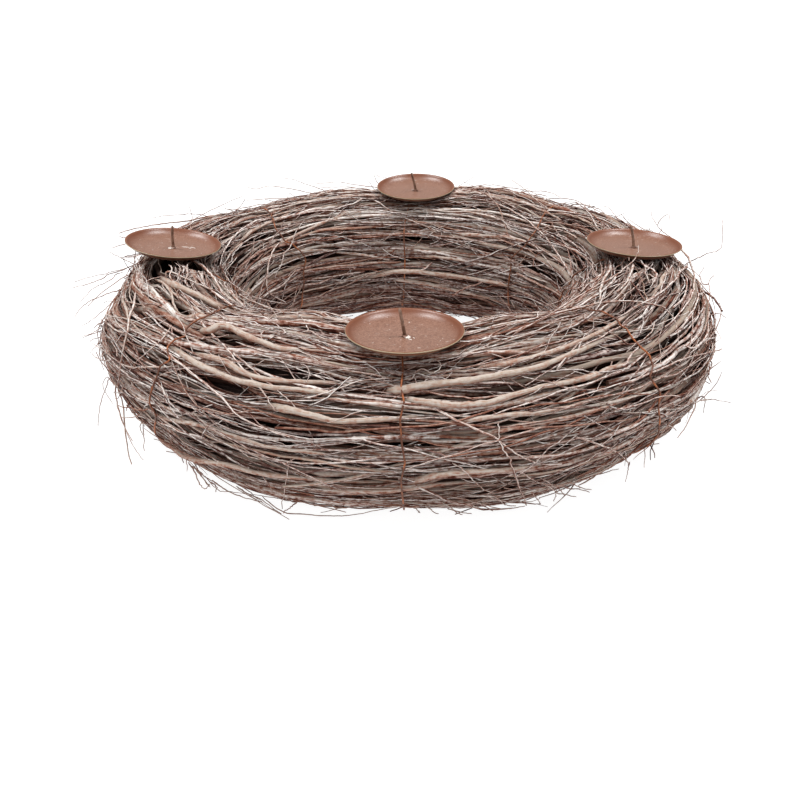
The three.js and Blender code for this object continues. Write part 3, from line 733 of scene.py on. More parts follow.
def ring_place(points):
    """The angle round the ring and the section, and the distance from its centre."""
    theta = np.arctan2(points[..., 1], points[..., 0])
    out = np.hypot(points[..., 0], points[..., 1]) - RING
    up = points[..., 2] - HEIGHT
    return theta, np.arctan2(up, out), np.hypot(out, up)


def on_ring(pixel, rise):
    """Where a ray through a pixel of the photograph meets the ring, as its angles and its
    distance from the section's centre. Off the outline it is the nearest point of the ray."""
    focal = STUDIO_IMAGE * CAMERA_LENS / SENSOR
    half = STUDIO_IMAGE / 2
    ray = Vector(((pixel[0] - half) / focal, (half - pixel[1]) / focal, -1.0))
    ray = CAMERA_TURN @ ray
    reach = np.linspace(*RAY, RAY_STEPS)[:, None]
    points = np.array(CAMERA_PLACE)[None, :] + reach * np.array(ray)[None, :]
    theta, phi, rho = ring_place(points)
    over = rho - surface_radius(theta, phi) - rise
    hits = np.flatnonzero(over < 0)
    at = hits[0] if len(hits) else int(np.argmin(over))
    return theta[at], phi[at], rho[at]


def holder_matrix(name):
    """Frame of a holder: its floor's centre, X away from the hole and Y along the ring."""
    turn = Matrix.Rotation(math.radians(HOLDERS[name].around), 4, "Z")
    place = Matrix.Translation((RING, 0, PLATE_SEAT))
    return turn @ place @ Matrix.Rotation(-math.radians(HOLDERS[name].lean), 4, "Y")


def plate_underside(radius, metal):
    """Height of a plate's underside, in the holder's frame."""
    wall = np.clip((radius - metal.floor / 2) / (metal.plate / 2 - metal.floor / 2), 0, 1)
    return metal.depth * wall**2 - metal.sheet


def clear_holders(points, radii, metal):
    """Parts the twigs round the spikes and presses them down under the plates."""
    for name, holder in HOLDERS.items():
        matrix = np.array(holder_matrix(name))
        local = (points - matrix[:3, 3]) @ matrix[:3, :3]
        near = np.argmin(np.abs(local[..., 1]), axis=1)
        side = np.sign(local[np.arange(len(local)), near, 0])[:, None]
        side[side == 0] = 1
        deep = local[..., 2] > -metal.below - BELOW_SPIKE
        bump = np.exp(-((local[..., 1] / holder.gap_length) ** 4)) * deep
        across = np.abs(local[..., 0])
        push = (holder.gap + radii) * bump * np.exp(-across / (SPIKE_SPREAD + holder.gap))
        same = np.sign(local[..., 0]) == side
        from_spike = np.where(same, across, -across)
        floor = (holder.gap * 0.6 + metal.spike / 2 + radii) * bump
        wanted = np.maximum(from_spike + push, floor)
        held = (bump > 0.02) & (across < SPIKE_REACH)
        local[..., 0] = np.where(held, side * wanted, local[..., 0])
        reach = np.hypot(local[..., 0], local[..., 1])
        ceiling = plate_underside(reach, metal) - PLATE_GAP - radii
        under = reach < metal.plate / 2 + PLATE_MARGIN
        beside = ~under & (reach < metal.plate / 2 + PLATE_REACH)
        ceiling = np.where(beside, BESIDE_PLATE, ceiling)
        held = np.minimum(local[..., 2], ceiling)
        local[..., 2] = np.where(under | beside, held, local[..., 2])
        points = local @ matrix[:3, :3].T + matrix[:3, 3]
    return points


def open_gaps(points):
    """Pushes twigs to both sides of the dark gaps, and lets them sink there."""
    theta, phi, rho = ring_place(points)
    for middle, half_length, tilt, half_width in gap_places():
        along = apart(theta, middle[0])
        across = apart(phi, middle[1]) - tilt * along
        bump = np.exp(-((along / half_length) ** 4)) * (rho > CORE - 1 * MM)
        nearest = np.argmin(np.abs(along), axis=1)
        side = np.sign(across[np.arange(len(across)), nearest])[:, None]
        push = half_width * bump * np.exp(-np.abs(across) / (GAP_FADE * half_width))
        near = np.abs(across) < GAP_REACH * half_width
        phi = phi + np.where(near, side * push, 0.0)
        rho = rho - GAP_SINK * half_width * TUBE * bump * np.exp(-((across / half_width) ** 2))
    return ring_point(theta, phi, rho)


@functools.cache
def gap_places():
    """The gaps of the photograph as places on the ring: middle, half length, tilt, half width."""
    places = []
    for first, last, aside in GAPS:
        ends = [np.array(on_ring(pixel, 0.0)) for pixel in (first, last)]
        middle = (ends[0] + ends[1]) / 2
        run = ends[1] - ends[0]
        tilt = run[1] / run[0]
        over = np.array(on_ring((np.array(first) + last) / 2 + aside, 0.0)) - middle
        width = min(GAP_WIDER * abs(over[1] - tilt * over[0]), WIDEST_GAP)
        places.append((middle, abs(run[0]) / 2, tilt, width))
    return places


# Twigs


def flow(theta, phi):
    """The slant that neighbouring twigs share, in radians."""
    slow = np.sin(3 * theta + 2 * phi + 0.6) + np.sin(5 * theta - phi + 2.1)
    quick = np.sin(9 * theta + 3 * phi + 4.0) + np.sin(13 * theta - 4 * phi + 1.3)
    return math.radians(1.7) * slow + math.radians(1.3) * quick


def band(theta, phi):
    """How much lighter or darker the twigs are in long bands round the ring."""
    wide = np.sin(2 * theta + 5 * phi + 1.0) + np.sin(3 * theta - 7 * phi + 2.0)
    narrow = np.sin(5 * theta + 16 * phi) + np.sin(4 * theta - 23 * phi + 3.0)
    return 0.06 * wide + 0.08 * narrow


def grow(rng, twigs, steps, kinks, metal):
    """Points of twigs that run along the ring: their slant, kinks, depth and rising tips."""
    count = len(twigs["theta"])
    stride = twigs["length"] / (steps - 1)
    theta, phi = twigs["theta"].copy(), twigs["phi"].copy()
    kink = np.zeros(count)
    sway = np.zeros(count)
    points = np.empty((count, steps, 3))
    for step in range(steps):
        share = step / (steps - 1)
        kink = KINK_KEPT * kink + rng.normal(0, kinks, count)
        sway = SWAY_KEPT * sway + rng.normal(0, SWAY, count)
        ahead = twigs["heading"] + twigs["curl"] * share + twigs["follow"] * flow(theta, phi)
        tip = twigs["hidden_tip"] * math.exp((share - 1) / END_SHARE)
        ends = math.exp(-share / END_SHARE) + tip
        rho = surface_radius(theta, phi) + twigs["height"] + sway - twigs["bury"] * ends
        rho = np.maximum(rho + twigs["rise"] * share**twigs["late"], 2 * HOOP_WIRE)
        points[:, step] = ring_point(theta, phi, rho)
        theta = theta + np.cos(ahead + kink) * stride / (RING + rho * np.cos(phi))
        phi = phi + np.sin(ahead + kink) * stride / rho
    radii = taper(rng, twigs, steps)
    points = open_gaps(points)
    points = clear_holders(points, radii, metal)
    points[..., 2] = np.maximum(points[..., 2], radii)
    return points, radii


def taper(rng, twigs, steps):
    """Radius along each twig: thinner to the tip, thicker at its knots."""
    share = np.linspace(0, 1, steps)[None, :]
    thinner = 1 - (1 - twigs["tip"][:, None]) * share**1.2
    knots = 1 + KNOT_SIZE * (rng.random((len(twigs["theta"]), steps)) < KNOTS)
    return twigs["radius"][:, None] * thinner * knots


def lane_starts(lane):
    """First stations of the bundles in a lane, and the end of the last one."""
    first = FIRST_START + (lane * LANE_STAGGER) % STATIONS
    return [first + round(n * STATIONS / BUNDLES) for n in range(BUNDLES + 1)]


def lay_twigs(rng, lane, span, count, kind):
    """Where the twigs of one kind start in a bundle, and how each of them runs."""
    start, end = span
    middle = rng.uniform(start, end, count)
    phi = math.pi / 2 + (lane + rng.uniform(-LANE_OVERLAP, LANE_OVERLAP, count)) * LANE_ANGLE
    reach = RING + TUBE * np.cos(phi)
    half = rng.uniform(*kind["length"], count) * MM / reach / 2
    spare = rng.uniform(*OVERHANG, count)
    first = np.maximum(middle - half, start - spare)
    last = np.minimum(middle + half, end + spare)
    length = (last - first) * reach
    wild = rng.random(count) < kind["wild"]
    slant = rng.normal(0, np.where(wild, WILD_SLANT, SLANT))
    forward = rng.random(count) < 0.5
    side = np.where(forward, 1, -1)
    rises = (rng.random(count) < kind["rising"]) * rng.gamma(2.0, kind["rise"] / 2, count)
    bury = kind["bury"] * rng.uniform(0.5, 1.2, count)
    *shape, deepest, least = kind["depth"]
    return {
        "theta": np.where(forward, first, last),
        "phi": phi - np.sin(slant) * length / 2 / TUBE * side,
        "heading": np.where(forward, slant, slant + math.pi),
        "curl": rng.normal(0, math.radians(kind["curl"]), count),
        "follow": 1,
        "height": -(rng.beta(*shape, count) * deepest * MM + least * MM),
        "bury": bury,
        "hidden_tip": np.where(rises > 0, 0.0, 1.0),
        "rise": rises,
        "late": rng.uniform(3, 7, count),
        "length": length,
        "radius": kind["radius"] * rng.lognormal(0, kind["spread"], count),
        "tip": rng.uniform(kind["tip"] * 0.6, kind["tip"] * 1.3, count),
        "tone": np.clip(rng.normal(kind["tone"], TONE_SPREAD, count) + band(first, phi), 0, 1),
        "wash": np.clip(rng.normal(kind["wash"], WASH_SPREAD, count), 0, MOST_WASH),
    }


def strand(points, radius, tone=0.0, wash=0.0, stout=True, closed=False):
    """One twig or wire: its points, and what the sweep and the bark need to know of it."""
    return {
        "points": points, "radius": radius, "tone": tone, "wash": wash, "stout": stout,
        "closed": closed,
    }


def strands_of(points, radii, twigs, stout):
    """The strands of twigs that were laid together."""
    rows = zip(points, radii, twigs["tone"], twigs["wash"])
    return [strand(line, radius, tone, wash, stout) for line, radius, tone, wash in rows]


def side_shoots(rng, hosts, count, radius):
    """Thin shoots that leave a bundle's twigs sideways, some of them standing off."""
    points, _, twigs = hosts
    host = rng.integers(0, len(points), count)
    knot = rng.integers(2, points.shape[1] - 1, count)
    theta, phi, rho = ring_place(points[host, knot])
    outward = rng.random(count) < SHOOTS_OUTWARD
    turn = rng.choice([-1, 1], count) * np.abs(rng.normal(*SHOOT_TURN, count))
    rise = np.where(outward, rng.gamma(*SHOOT_RISE, count), rng.normal(*SHOOT_LIFT, count) * MM)
    curly = rng.random(count) < SHOOTS_CURLY
    return {
        "theta": theta,
        "phi": phi,
        "heading": twigs["heading"][host] + turn,
        "curl": np.where(curly, rng.normal(0, SHOOT_CURL, count), SHOOT_BEND * turn),
        "follow": 1,
        "height": np.maximum(rho - surface_radius(theta, phi), -SHOOT_SUNK),
        "bury": 0,
        "hidden_tip": 0,
        "rise": rise,
        "late": np.full(count, 1.1),
        "length": np.where(
            curly, CURLY_SHOOT, rng.gamma(*SHOOT_LENGTHS, count) + SHORTEST_SHOOT
        ) * MM,
        "radius": radius * rng.lognormal(0, SHOOT_RADII, count),
        "tip": rng.uniform(*SHOOT_TIPS, count),
        "tone": np.clip(rng.normal(*SHOOT_TONE, count), 0, 1),
        "wash": np.clip(rng.normal(*SHOOT_WASH, count), 0, 2.5),
    }


def frame_stray(rng, stray, furthest):
    """A stray twig of the frame, on the same way from its bundle to its tip."""
    lane, start, end, tip = stray
    share = np.linspace(0, 1, STRAY_STEPS)
    phi = math.pi / 2 + LANES.index(lane) * LANE_ANGLE
    drift = apart(math.radians(tip), phi)
    root = surface_radius(math.radians(start), phi) - STRAY_ROOT
    far = (STRAY_REACH - RING) / math.cos(math.radians(tip)) if furthest else TUBE + STRAY_RISE
    theta = np.radians(start + (end - start) * share)
    points = ring_point(theta, phi + drift * share**2, root + (far - root) * share)
    wave = rng.normal(0, STRAY_WAVE, points.shape) * np.sin(math.pi * share)[:, None]
    return points + wave, STRAY_RADIUS * (1 - 0.6 * share)


def bundle_strands(rng, lane, span, twigs, metal):
    """All twigs and shoots of one bundle."""
    name = LANES[lane]
    inside = "inner" in name or name == "foot"
    paint = PAINT_REACH_AND_SHADE.get(name, 1.0)
    strands = []
    for number, kind_name in enumerate(KINDS):
        kind = {key: values[number] for key, values in KIND_VALUES.items()}
        kind["radius"] = getattr(twigs, f"{kind_name}_radius")
        share = kind["inside"] if inside else 1.0
        count = round(getattr(twigs, kind_name) * share)
        laid = lay_twigs(rng, lane, span, count, kind)
        laid["wash"] *= paint
        # Painted shade on the bark in the hole and underneath
        laid["tone"] -= LANE_SHADE_TONE * (1 - paint)
        points, radii = grow(rng, laid, kind["steps"], math.radians(kind["kinks"]), metal)
        strands += strands_of(points, radii, laid, kind_name == "stout")
        if kind_name != "stout":
            shoots = round(twigs.shoots * share / 2)
            side = side_shoots(rng, (points, radii, laid), shoots, twigs.shoot_radius)
            side["wash"] *= paint
            points, radii = grow(rng, side, SHOOT_STEPS, SHOOT_KINKS, metal)
            strands += strands_of(points, radii, side, False)
    return strands


def landmark_strand(rng, landmark):
    """A twig that follows its pixels over the ring, with its place in the bundles."""
    radius, look, pixels = landmark
    corners = np.linspace(0, 1, len(pixels))
    marks = (0, *ON_ITS_WAY, 1)
    rises = np.interp(corners, marks, (look.root, look.way, look.way, look.tip)) * MM
    places = np.array([on_ring(pixel, rise) for pixel, rise in zip(pixels, rises)])
    places[:, :2] = np.unwrap(places[:, :2], axis=0)
    steps = np.linspace(0, 1, LANDMARK_STEPS * len(pixels))
    path = np.stack([smooth_curve(steps, corners, places[:, n]) for n in range(3)], axis=1)
    path += rng.normal(0, 1, (len(steps), 3)) * LANDMARK_WAVE
    points = ring_point(path[:, 0], path[:, 1], path[:, 2])
    uneven = 1 + 0.05 * np.sin(steps * 23 + rng.uniform(0, TURN))
    knots = 1 + KNOT_SIZE * (rng.random(len(steps)) < KNOTS)
    butt = np.minimum(1, BUTT + steps / BUTT_SHARE)
    radii = radius * MM * (1 - LANDMARK_TIP * steps) * butt * uneven * knots
    points[:, 2] = np.maximum(points[:, 2], radii)
    tone = look.tone + rng.normal(0, 0.06)
    twig = strand(points, radii, tone, look.wash, radius > STOUT_FROM)
    theta, phi, _ = path[len(path) // 2]
    return twig, theta, phi


def smooth_curve(steps, corners, values):
    """Values between corners on a curve without sharp turns."""
    slopes = np.gradient(values, corners)
    span = np.clip(np.searchsorted(corners, steps, side="right") - 1, 0, len(corners) - 2)
    width = corners[span + 1] - corners[span]
    t = (steps - corners[span]) / width
    here = (1 + 2 * t) * (1 - t) ** 2 * values[span] + t * (1 - t) ** 2 * width * slopes[span]
    there = t**2 * (3 - 2 * t) * values[span + 1] + t**2 * (t - 1) * width * slopes[span + 1]
    return here + there


def bundle_of(theta, phi):
    """The lane and number of the bundle at a place on the ring."""
    lane = round((phi - math.pi / 2) / LANE_ANGLE) % len(LANES)
    starts = lane_starts(lane)
    place = starts[0] + (theta / STATION - starts[0]) % STATIONS
    return lane, min(BUNDLES - 1, int(np.searchsorted(starts, place, side="right")) - 1)


def grows_from(stray, lane, start, end):
    """Whether a stray twig of the frame grows from this bundle."""
    if LANES[lane] != stray[0]:
        return False
    place = start + (math.radians(stray[1]) / STATION - start) % STATIONS
    return start + 2 <= place < end


# Sweeps


def sweep_tree():
    """Node tree that sweeps a round section along each polyline."""
    tree = bpy.data.node_groups.new("strand_sweep", "GeometryNodeTree")
    node = functools.partial(add_node, tree)
    sockets = {
        "Geometry": "NodeSocketGeometry",
        "Stout sides": "NodeSocketInt",
        "Fine sides": "NodeSocketInt",
        "Relief": "NodeSocketFloat",
        "Material": "NodeSocketMaterial",
    }
    for name, kind in sockets.items():
        tree.interface.new_socket(name=name, in_out="INPUT", socket_type=kind)
    tree.interface.new_socket(name="Geometry", in_out="OUTPUT", socket_type=sockets["Geometry"])
    given = node("NodeGroupInput").outputs
    stout, radius = (
        node("GeometryNodeInputNamedAttribute", {"Name": name}, data_type="FLOAT")
        for name in ("stout", "radius")
    )
    along = node("GeometryNodeSplineParameter").outputs["Length"]
    lines = node("GeometryNodeMeshToCurve", {"Mesh": given["Geometry"]})
    lines = node(
        "GeometryNodeStoreNamedAttribute", {"Geometry": lines, "Name": "along", "Value": along},
        data_type="FLOAT", domain="POINT",
    )
    parted = node(
        "GeometryNodeSeparateGeometry", {"Geometry": lines, "Selection": stout}, domain="POINT"
    )
    joined = node("GeometryNodeJoinGeometry")
    for part, sides in (("Inverted", "Fine sides"), ("Selection", "Stout sides")):
        circle = node("GeometryNodeCurvePrimitiveCircle", {"Resolution": given[sides], "Radius": 1.0})
        place = node("GeometryNodeInputPosition")
        ring = node(
            "GeometryNodeStoreNamedAttribute", {"Geometry": circle, "Name": "ring", "Value": place},
            data_type="FLOAT_VECTOR", domain="POINT",
        )
        swept = node("GeometryNodeCurveToMesh", {
            "Curve": parted.outputs[part], "Profile Curve": ring, "Scale": radius, "Fill Caps": True,
        })
        tree.links.new(swept.outputs["Mesh"], joined.inputs["Geometry"])
    # The bark's unevenness: noise about its middle, in proportion to the radius
    depth = node("ShaderNodeTexNoise", {"Scale": 1 / (4 * MM), "Detail": 1.0}, noise_dimensions="3D")
    for operation, value in (
        ("SUBTRACT", 0.5), ("MULTIPLY", given["Relief"]), ("MULTIPLY", radius),
    ):
        depth = node("ShaderNodeMath", {"Value": depth, "Value_001": value}, operation=operation)
    normal = node("GeometryNodeInputNormal").outputs["Normal"]
    offset = node("ShaderNodeVectorMath", {"Vector": normal, "Scale": depth}, operation="SCALE")
    shape = joined
    for kind, values in (
        ("GeometryNodeSetPosition", {"Offset": offset}),
        ("GeometryNodeSetShadeSmooth", {}),
        ("GeometryNodeRealizeInstances", {}),
        ("GeometryNodeSetMaterial", {"Material": given["Material"]}),
        ("NodeGroupOutput", {}),
    ):
        shape = node(kind, {"Geometry": shape, **values})
    return tree


def polylines(name, strands):
    """A mesh of one open or closed polyline for each strand, with its values on the points."""
    mesh = bpy.data.meshes.new(name)
    points = np.concatenate([line["points"] for line in strands])
    edges = []
    first = 0
    for line in strands:
        count = len(line["points"])
        here = np.arange(first, first + count - 1)
        edges.append(np.stack([here, here + 1], axis=1))
        if line["closed"]:
            edges.append(np.array([[first + count - 1, first]]))
        first += count
    edges = np.concatenate(edges)
    mesh.vertices.add(len(points))
    mesh.vertices.foreach_set("co", points.astype(np.float32).ravel())
    mesh.edges.add(len(edges))
    mesh.edges.foreach_set("vertices", edges.astype(np.int32).ravel())
    values = {
        key: np.concatenate([np.broadcast_to(s[key], len(s["points"])) for s in strands])
        for key in ("radius", "tone", "wash", "stout")
    }
    theta, phi, rho = ring_place(points)
    values["depth"] = surface_radius(theta, phi) - rho
    for key, numbers in values.items():
        layer = mesh.attributes.new(key, "FLOAT", "POINT")
        layer.data.foreach_set("value", numbers.astype(np.float32))
    mesh.update()
    return mesh


def sweep(name, strands, material, sides, relief=0.0):
    """A piece swept along its strands, as a plain mesh. sides is for stout and fine ones."""
    piece = add_object(name, polylines(name + "_lines", strands))
    modifier = piece.modifiers.new("sweep", "NODES")
    modifier.node_group = bpy.data.node_groups.get("strand_sweep") or sweep_tree()
    given = {
        "Stout sides": sides[0], "Fine sides": sides[1], "Relief": relief, "Material": material,
    }
    for item in modifier.node_group.interface.items_tree:
        if item.in_out == "INPUT" and item.name in given:
            modifier[item.identifier] = given[item.name]
    graph = bpy.context.evaluated_depsgraph_get()
    swept = bpy.data.meshes.new_from_object(
        piece.evaluated_get(graph), preserve_all_data_layers=True, depsgraph=graph
    )
    swept.name = name
    piece.modifiers.clear()
    piece.data = swept
    return piece


def settle(piece, body, node):
    """Puts a finished piece on its body and in place of its frame node."""
    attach(piece, body)
    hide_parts(node)


# Materials


def new_material(name):
    """An empty material, what adds a node to it, and its Object coordinates."""
    made = bpy.data.materials.new(name)
    made.use_nodes = True
    made.node_tree.nodes.clear()
    node = functools.partial(add_node, made.node_tree)
    return made, node, node("ShaderNodeTexCoord").outputs["Object"]


def rgba(value):
    """A colour with full alpha."""
    return (*value, 1.0)


def lay_over(node, base, layers):
    """Lays colours over a base. Each layer has the value that it follows, where that starts and
    is full, how much of the layer shows at most, and its colour."""
    for value, low, high, most, shade in layers:
        part = node(
            "ShaderNodeMapRange",
            {"Value": value, "From Min": low, "From Max": high, "To Max": most},
        )
        base = node(
            "ShaderNodeMix", {"Factor_Float": part, "A_Color": base, "B_Color": rgba(shade)},
            data_type="RGBA",
        )
    return base


def finish(node, base, look, bumps=None):
    """Ends a material with its base colour and look, and with bumps of a height, strength and
    size where it has them."""
    if bumps:
        height, strength, size = bumps
        look["Normal"] = node(
            "ShaderNodeBump", {"Height": height, "Strength": strength, "Distance": size}
        )
    shader = node("ShaderNodeBsdfPrincipled", {"Base Color": base, **look})
    node("ShaderNodeOutputMaterial", {"Surface": shader})


def bark_material(colours):
    """Brushwood bark sprayed with thin white paint: grain along the twig, grey on stout twigs and
    red-brown on fine ones, paint on the sides that face out, bare in the gaps, with a painted shade
    on the underside of each twig and deep in the gaps."""
    made, node, place = new_material("whitewashed_brushwood_bark")
    tone, wash, along, depth = (
        node("ShaderNodeAttribute", attribute_name=name).outputs["Fac"]
        for name in ("tone", "wash", "along", "depth")
    )
    ring = node("ShaderNodeAttribute", attribute_name="ring").outputs["Vector"]
    normal = node("ShaderNodeNewGeometry").outputs["Normal"]
    upward = node("ShaderNodeSeparateXYZ", {"Vector": normal}).outputs["Z"]
    # Grain: about eight streaks round a twig, each some 8 mm long
    shifted = node(
        "ShaderNodeMath", {"Value": along, "Value_001": 1 / (8 * MM), "Value_002": tone},
        operation="MULTIPLY_ADD",
    )
    streaks = node("ShaderNodeCombineXYZ", {"Z": shifted})
    for vector, scale in ((ring, (1.7, 1.7, 0.0)), (place, (25.0, 25.0, 25.0))):
        streaks = node(
            "ShaderNodeVectorMath", {"Vector": vector, "Vector_001": scale, "Vector_002": streaks},
            operation="MULTIPLY_ADD",
        )
    grain = node(
        "ShaderNodeTexNoise", {"Vector": streaks, "Scale": 1.0, "Detail": 5.0, "Roughness": 0.7}
    )
    # Knots, scars and stains of some 2 mm
    speckle = node("ShaderNodeTexNoise", {"Vector": place, "Scale": 1 / (2.2 * MM), "Detail": 3.0})
    flecks = node(
        "ShaderNodeMath", {"Value": speckle, "Value_001": 0.4, "Value_002": grain},
        operation="MULTIPLY_ADD",
    )
    # Grain and stains darken and lighten the bark, a painted shade darkens the underside of each twig
    # and a painted light lifts its upper side a little, the bark of stout twigs, which have the high
    # tones, is calmer, and flecks of the paint have worn off
    uneven, stained, painted_underside_shade, calm, worn = (
        node("ShaderNodeMapRange", {
            "Value": value, "From Min": low, "From Max": high, "To Min": first, "To Max": last,
        })
        for value, low, high, first, last in (
            (grain, 0.34, 0.66, -0.42, 0.36),
            (speckle, 0.3, 0.7, -0.24, 0.24),
            (upward, -0.7, 0.7, -0.35, 0.1),
            (tone, 0.4, 0.9, 1.0, 0.9),
            (flecks, 0.62, 0.82, 0.0, 1.0),
        )
    )
    broken = uneven
    for part in (stained, painted_underside_shade):
        broken = node("ShaderNodeMath", {"Value": broken, "Value_001": part}, operation="ADD")
    toned = node(
        "ShaderNodeMath", {"Value": broken, "Value_001": calm, "Value_002": tone},
        operation="MULTIPLY_ADD", use_clamp=True,
    )
    ramp = node("ShaderNodeValToRGB", {"Fac": toned})
    stops = ((0.0, colours.bark_dark), (0.3, colours.bark_red), (0.6, colours.bark_brown),
             (1.0, colours.bark_grey))
    while len(ramp.color_ramp.elements) < len(stops):
        ramp.color_ramp.elements.new(0.5)
    for element, (position, shade) in zip(ramp.color_ramp.elements, stops):
        element.position = position
        element.color = rgba(shade)
    # The paint was sprayed from above and from outside the section's centre line
    facing = place
    for operation, values in (
        ("MULTIPLY", {"Vector_001": (1.0, 1.0, 0.0)}),
        ("NORMALIZE", {}),
        ("MULTIPLY_ADD", {"Vector_001": (RING, RING, 0.0), "Vector_002": (0.0, 0.0, HEIGHT)}),
        ("SUBTRACT", {"Vector_001": place}),
        ("NORMALIZE", {}),
        ("MULTIPLY_ADD", {"Vector_001": (-1.0, -1.0, -1.0), "Vector_002": (0.0, 0.0, 0.35)}),
        ("DOT_PRODUCT", {"Vector_001": normal}),
    ):
        facing = node("ShaderNodeVectorMath", {"Vector": facing, **values}, operation=operation)
    sprayed, reached = (
        node(
            "ShaderNodeMapRange", {"Value": value, "From Min": low, "From Max": high},
            interpolation_type="SMOOTHSTEP",
        )
        for value, low, high in ((facing, 0.1, 1.05), (depth, 7 * MM, -0.5 * MM))
    )
    paint = sprayed
    for factor in (reached, worn, wash):
        paint = node(
            "ShaderNodeMath", {"Value": paint, "Value_001": factor}, operation="MULTIPLY",
            use_clamp=True,
        )
    painted = node(
        "ShaderNodeMix", {"Factor_Float": paint, "A_Color": ramp, "B_Color": rgba(colours.wash)},
        data_type="RGBA",
    )
    # Deep in the gaps the bark is bare, and a painted shade darkens it to near black
    base = lay_over(node, painted, [(depth, 0.8 * MM, 6.5 * MM, 0.95, colours.gap)])
    finish(node, base, {"Roughness": 0.9, "Specular IOR Level": 0.08}, (grain, 0.7, 0.25 * MM))
    return made


def mottled_material(name, size, share, dark, light, metallic, roughness):
    """A surface in patches of two shades. size is that of a patch, share the part of the
    noise from which the light shade starts and where it is full."""
    made, node, place = new_material(name)
    patches = node("ShaderNodeTexNoise", {"Vector": place, "Scale": 1 / size, "Detail": 5.0})
    base = lay_over(node, rgba(dark), [(patches, *share, 1.0, light)])
    look = {"Metallic": metallic, "Roughness": roughness}
    finish(node, base, look, (patches, 0.5, 0.12 * MM))
    return made


def core_material(colours):
    """Bare bark inside the wreath, which the paint never reached: matt, and darkened to a painted
    shade.
    """
    shades = (colours.gap, colours.core)
    return mottled_material("bare_brushwood_bark", 3 * MM, (0.3, 0.7), *shades, 0.0, 0.9)


def wire_material(colours):
    """Soft annealed iron wire that has rusted: orange patches on a dark skin."""
    shades = (colours.wire_dark, colours.wire)
    return mottled_material("annealed_iron_wire_rusted", 6 * MM, (0.46, 0.66), *shades, 0.25, 0.5)


def hoop_material(colours):
    """Black annealed iron of the hoop inside the twigs, dull with a little rust."""
    shades = (colours.hoop, colours.wire_dark)
    return mottled_material("annealed_iron_hoop_wire", 9 * MM, (0.5, 0.75), *shades, 0.6, 0.6)


def spike_material(colours):
    """Drawn steel of the spikes with a thin brown rust, brighter where it is rubbed."""
    shades = (colours.spike_dark, colours.spike)
    return mottled_material("drawn_steel_light_rust", 2.5 * MM, (0.3, 0.56), *shades, 0.4, 0.42)


def weld_material(colours):
    """Weld metal at the foot of a spike: coated over in the dark coat round the spike, which also
    stands as a painted shadow ring at its foot, and pale and lumpy where it ran out to one side."""
    made, node, place = new_material("weld_metal_pale")
    run = node("ShaderNodeAttribute", attribute_name="edge").outputs["Fac"]
    patches = node("ShaderNodeTexNoise", {"Vector": place, "Scale": 1 / MM, "Detail": 4.0})
    bare = node(
        "ShaderNodeMath", {"Value": run, "Value_001": 0.5, "Value_002": patches},
        operation="MULTIPLY_ADD",
    )
    # The dark coat round the spike is partly a painted shadow ring at the spike's foot
    base = lay_over(node, rgba(colours.coat_dark), [(bare, 0.72, 0.84, 1.0, colours.weld)])
    finish(node, base, {"Roughness": 0.45}, (patches, 0.5, 0.15 * MM))
    return made


def coat_material(colours):
    """Steel with a textured rust-brown powder coat: a fine grain, a satin sheen, pale specks of wax,
    short scratches, a painted shade that darkens the wall, and worn thin along the edge."""
    made, node, place = new_material("rust_brown_textured_powder_coat")
    # The coat's grain of 0.3 mm is drawn at 0.8 mm, so that it shows
    grain, cloud, speck = (
        node("ShaderNodeTexNoise", {"Vector": place, "Scale": 1 / size, "Detail": 3.0})
        for size in (0.8 * MM, 14 * MM, 1.7 * MM)
    )
    long_place = node(
        "ShaderNodeVectorMath",
        {"Vector": place, "Vector_001": (1 / (4 * MM), 1 / (0.7 * MM), 1 / (9 * MM))},
        operation="MULTIPLY",
    )
    scratch = node("ShaderNodeTexNoise", {"Vector": long_place, "Scale": 1.0, "Detail": 2.0})
    edge = node("ShaderNodeAttribute", attribute_name="edge").outputs["Fac"]
    base = lay_over(node, rgba(colours.coat_dark), (
        (grain, 0.36, 0.62, 1.0, colours.coat),
        (cloud, 0.45, 0.75, 0.35, colours.coat_dark),
        (speck, 0.69, 0.73, 0.9, colours.weld),
        (scratch, 0.72, 0.76, 0.8, colours.weld),
        # Painted shade on the plate's wall
        (edge, 0.0, WALL_SHADE_MARK, 0.95, colours.coat_wall_shade),
        (edge, 0.5, 0.9, 0.85, colours.lip),
    ))
    finish(node, base, {"Roughness": 0.36, "Specular IOR Level": 0.5}, (grain, 0.45, 0.1 * MM))
    return made


def floor_material(colours):
    """Matt white studio floor that glows, so that shadows on it stay faint."""
    made, node, place = new_material("matt_white_studio_floor")
    cloud = node("ShaderNodeTexNoise", {"Vector": place, "Scale": 0.4})
    lighter = tuple(min(1, c * 1.02) for c in colours.floor)
    base = lay_over(node, rgba(colours.floor), [(cloud, 0.0, 1.0, 1.0, lighter)])
    finish(node, base, {
        "Roughness": 0.9, "Specular IOR Level": 0.0,
        "Emission Color": rgba(WHITE), "Emission Strength": FLOOR_GLOW,
    })
    return made


def material(name, maker):
    """The material of that name, made the first time it is asked for."""
    return bpy.data.materials.get(name) or maker(settings()[2])


# Lathe shapes


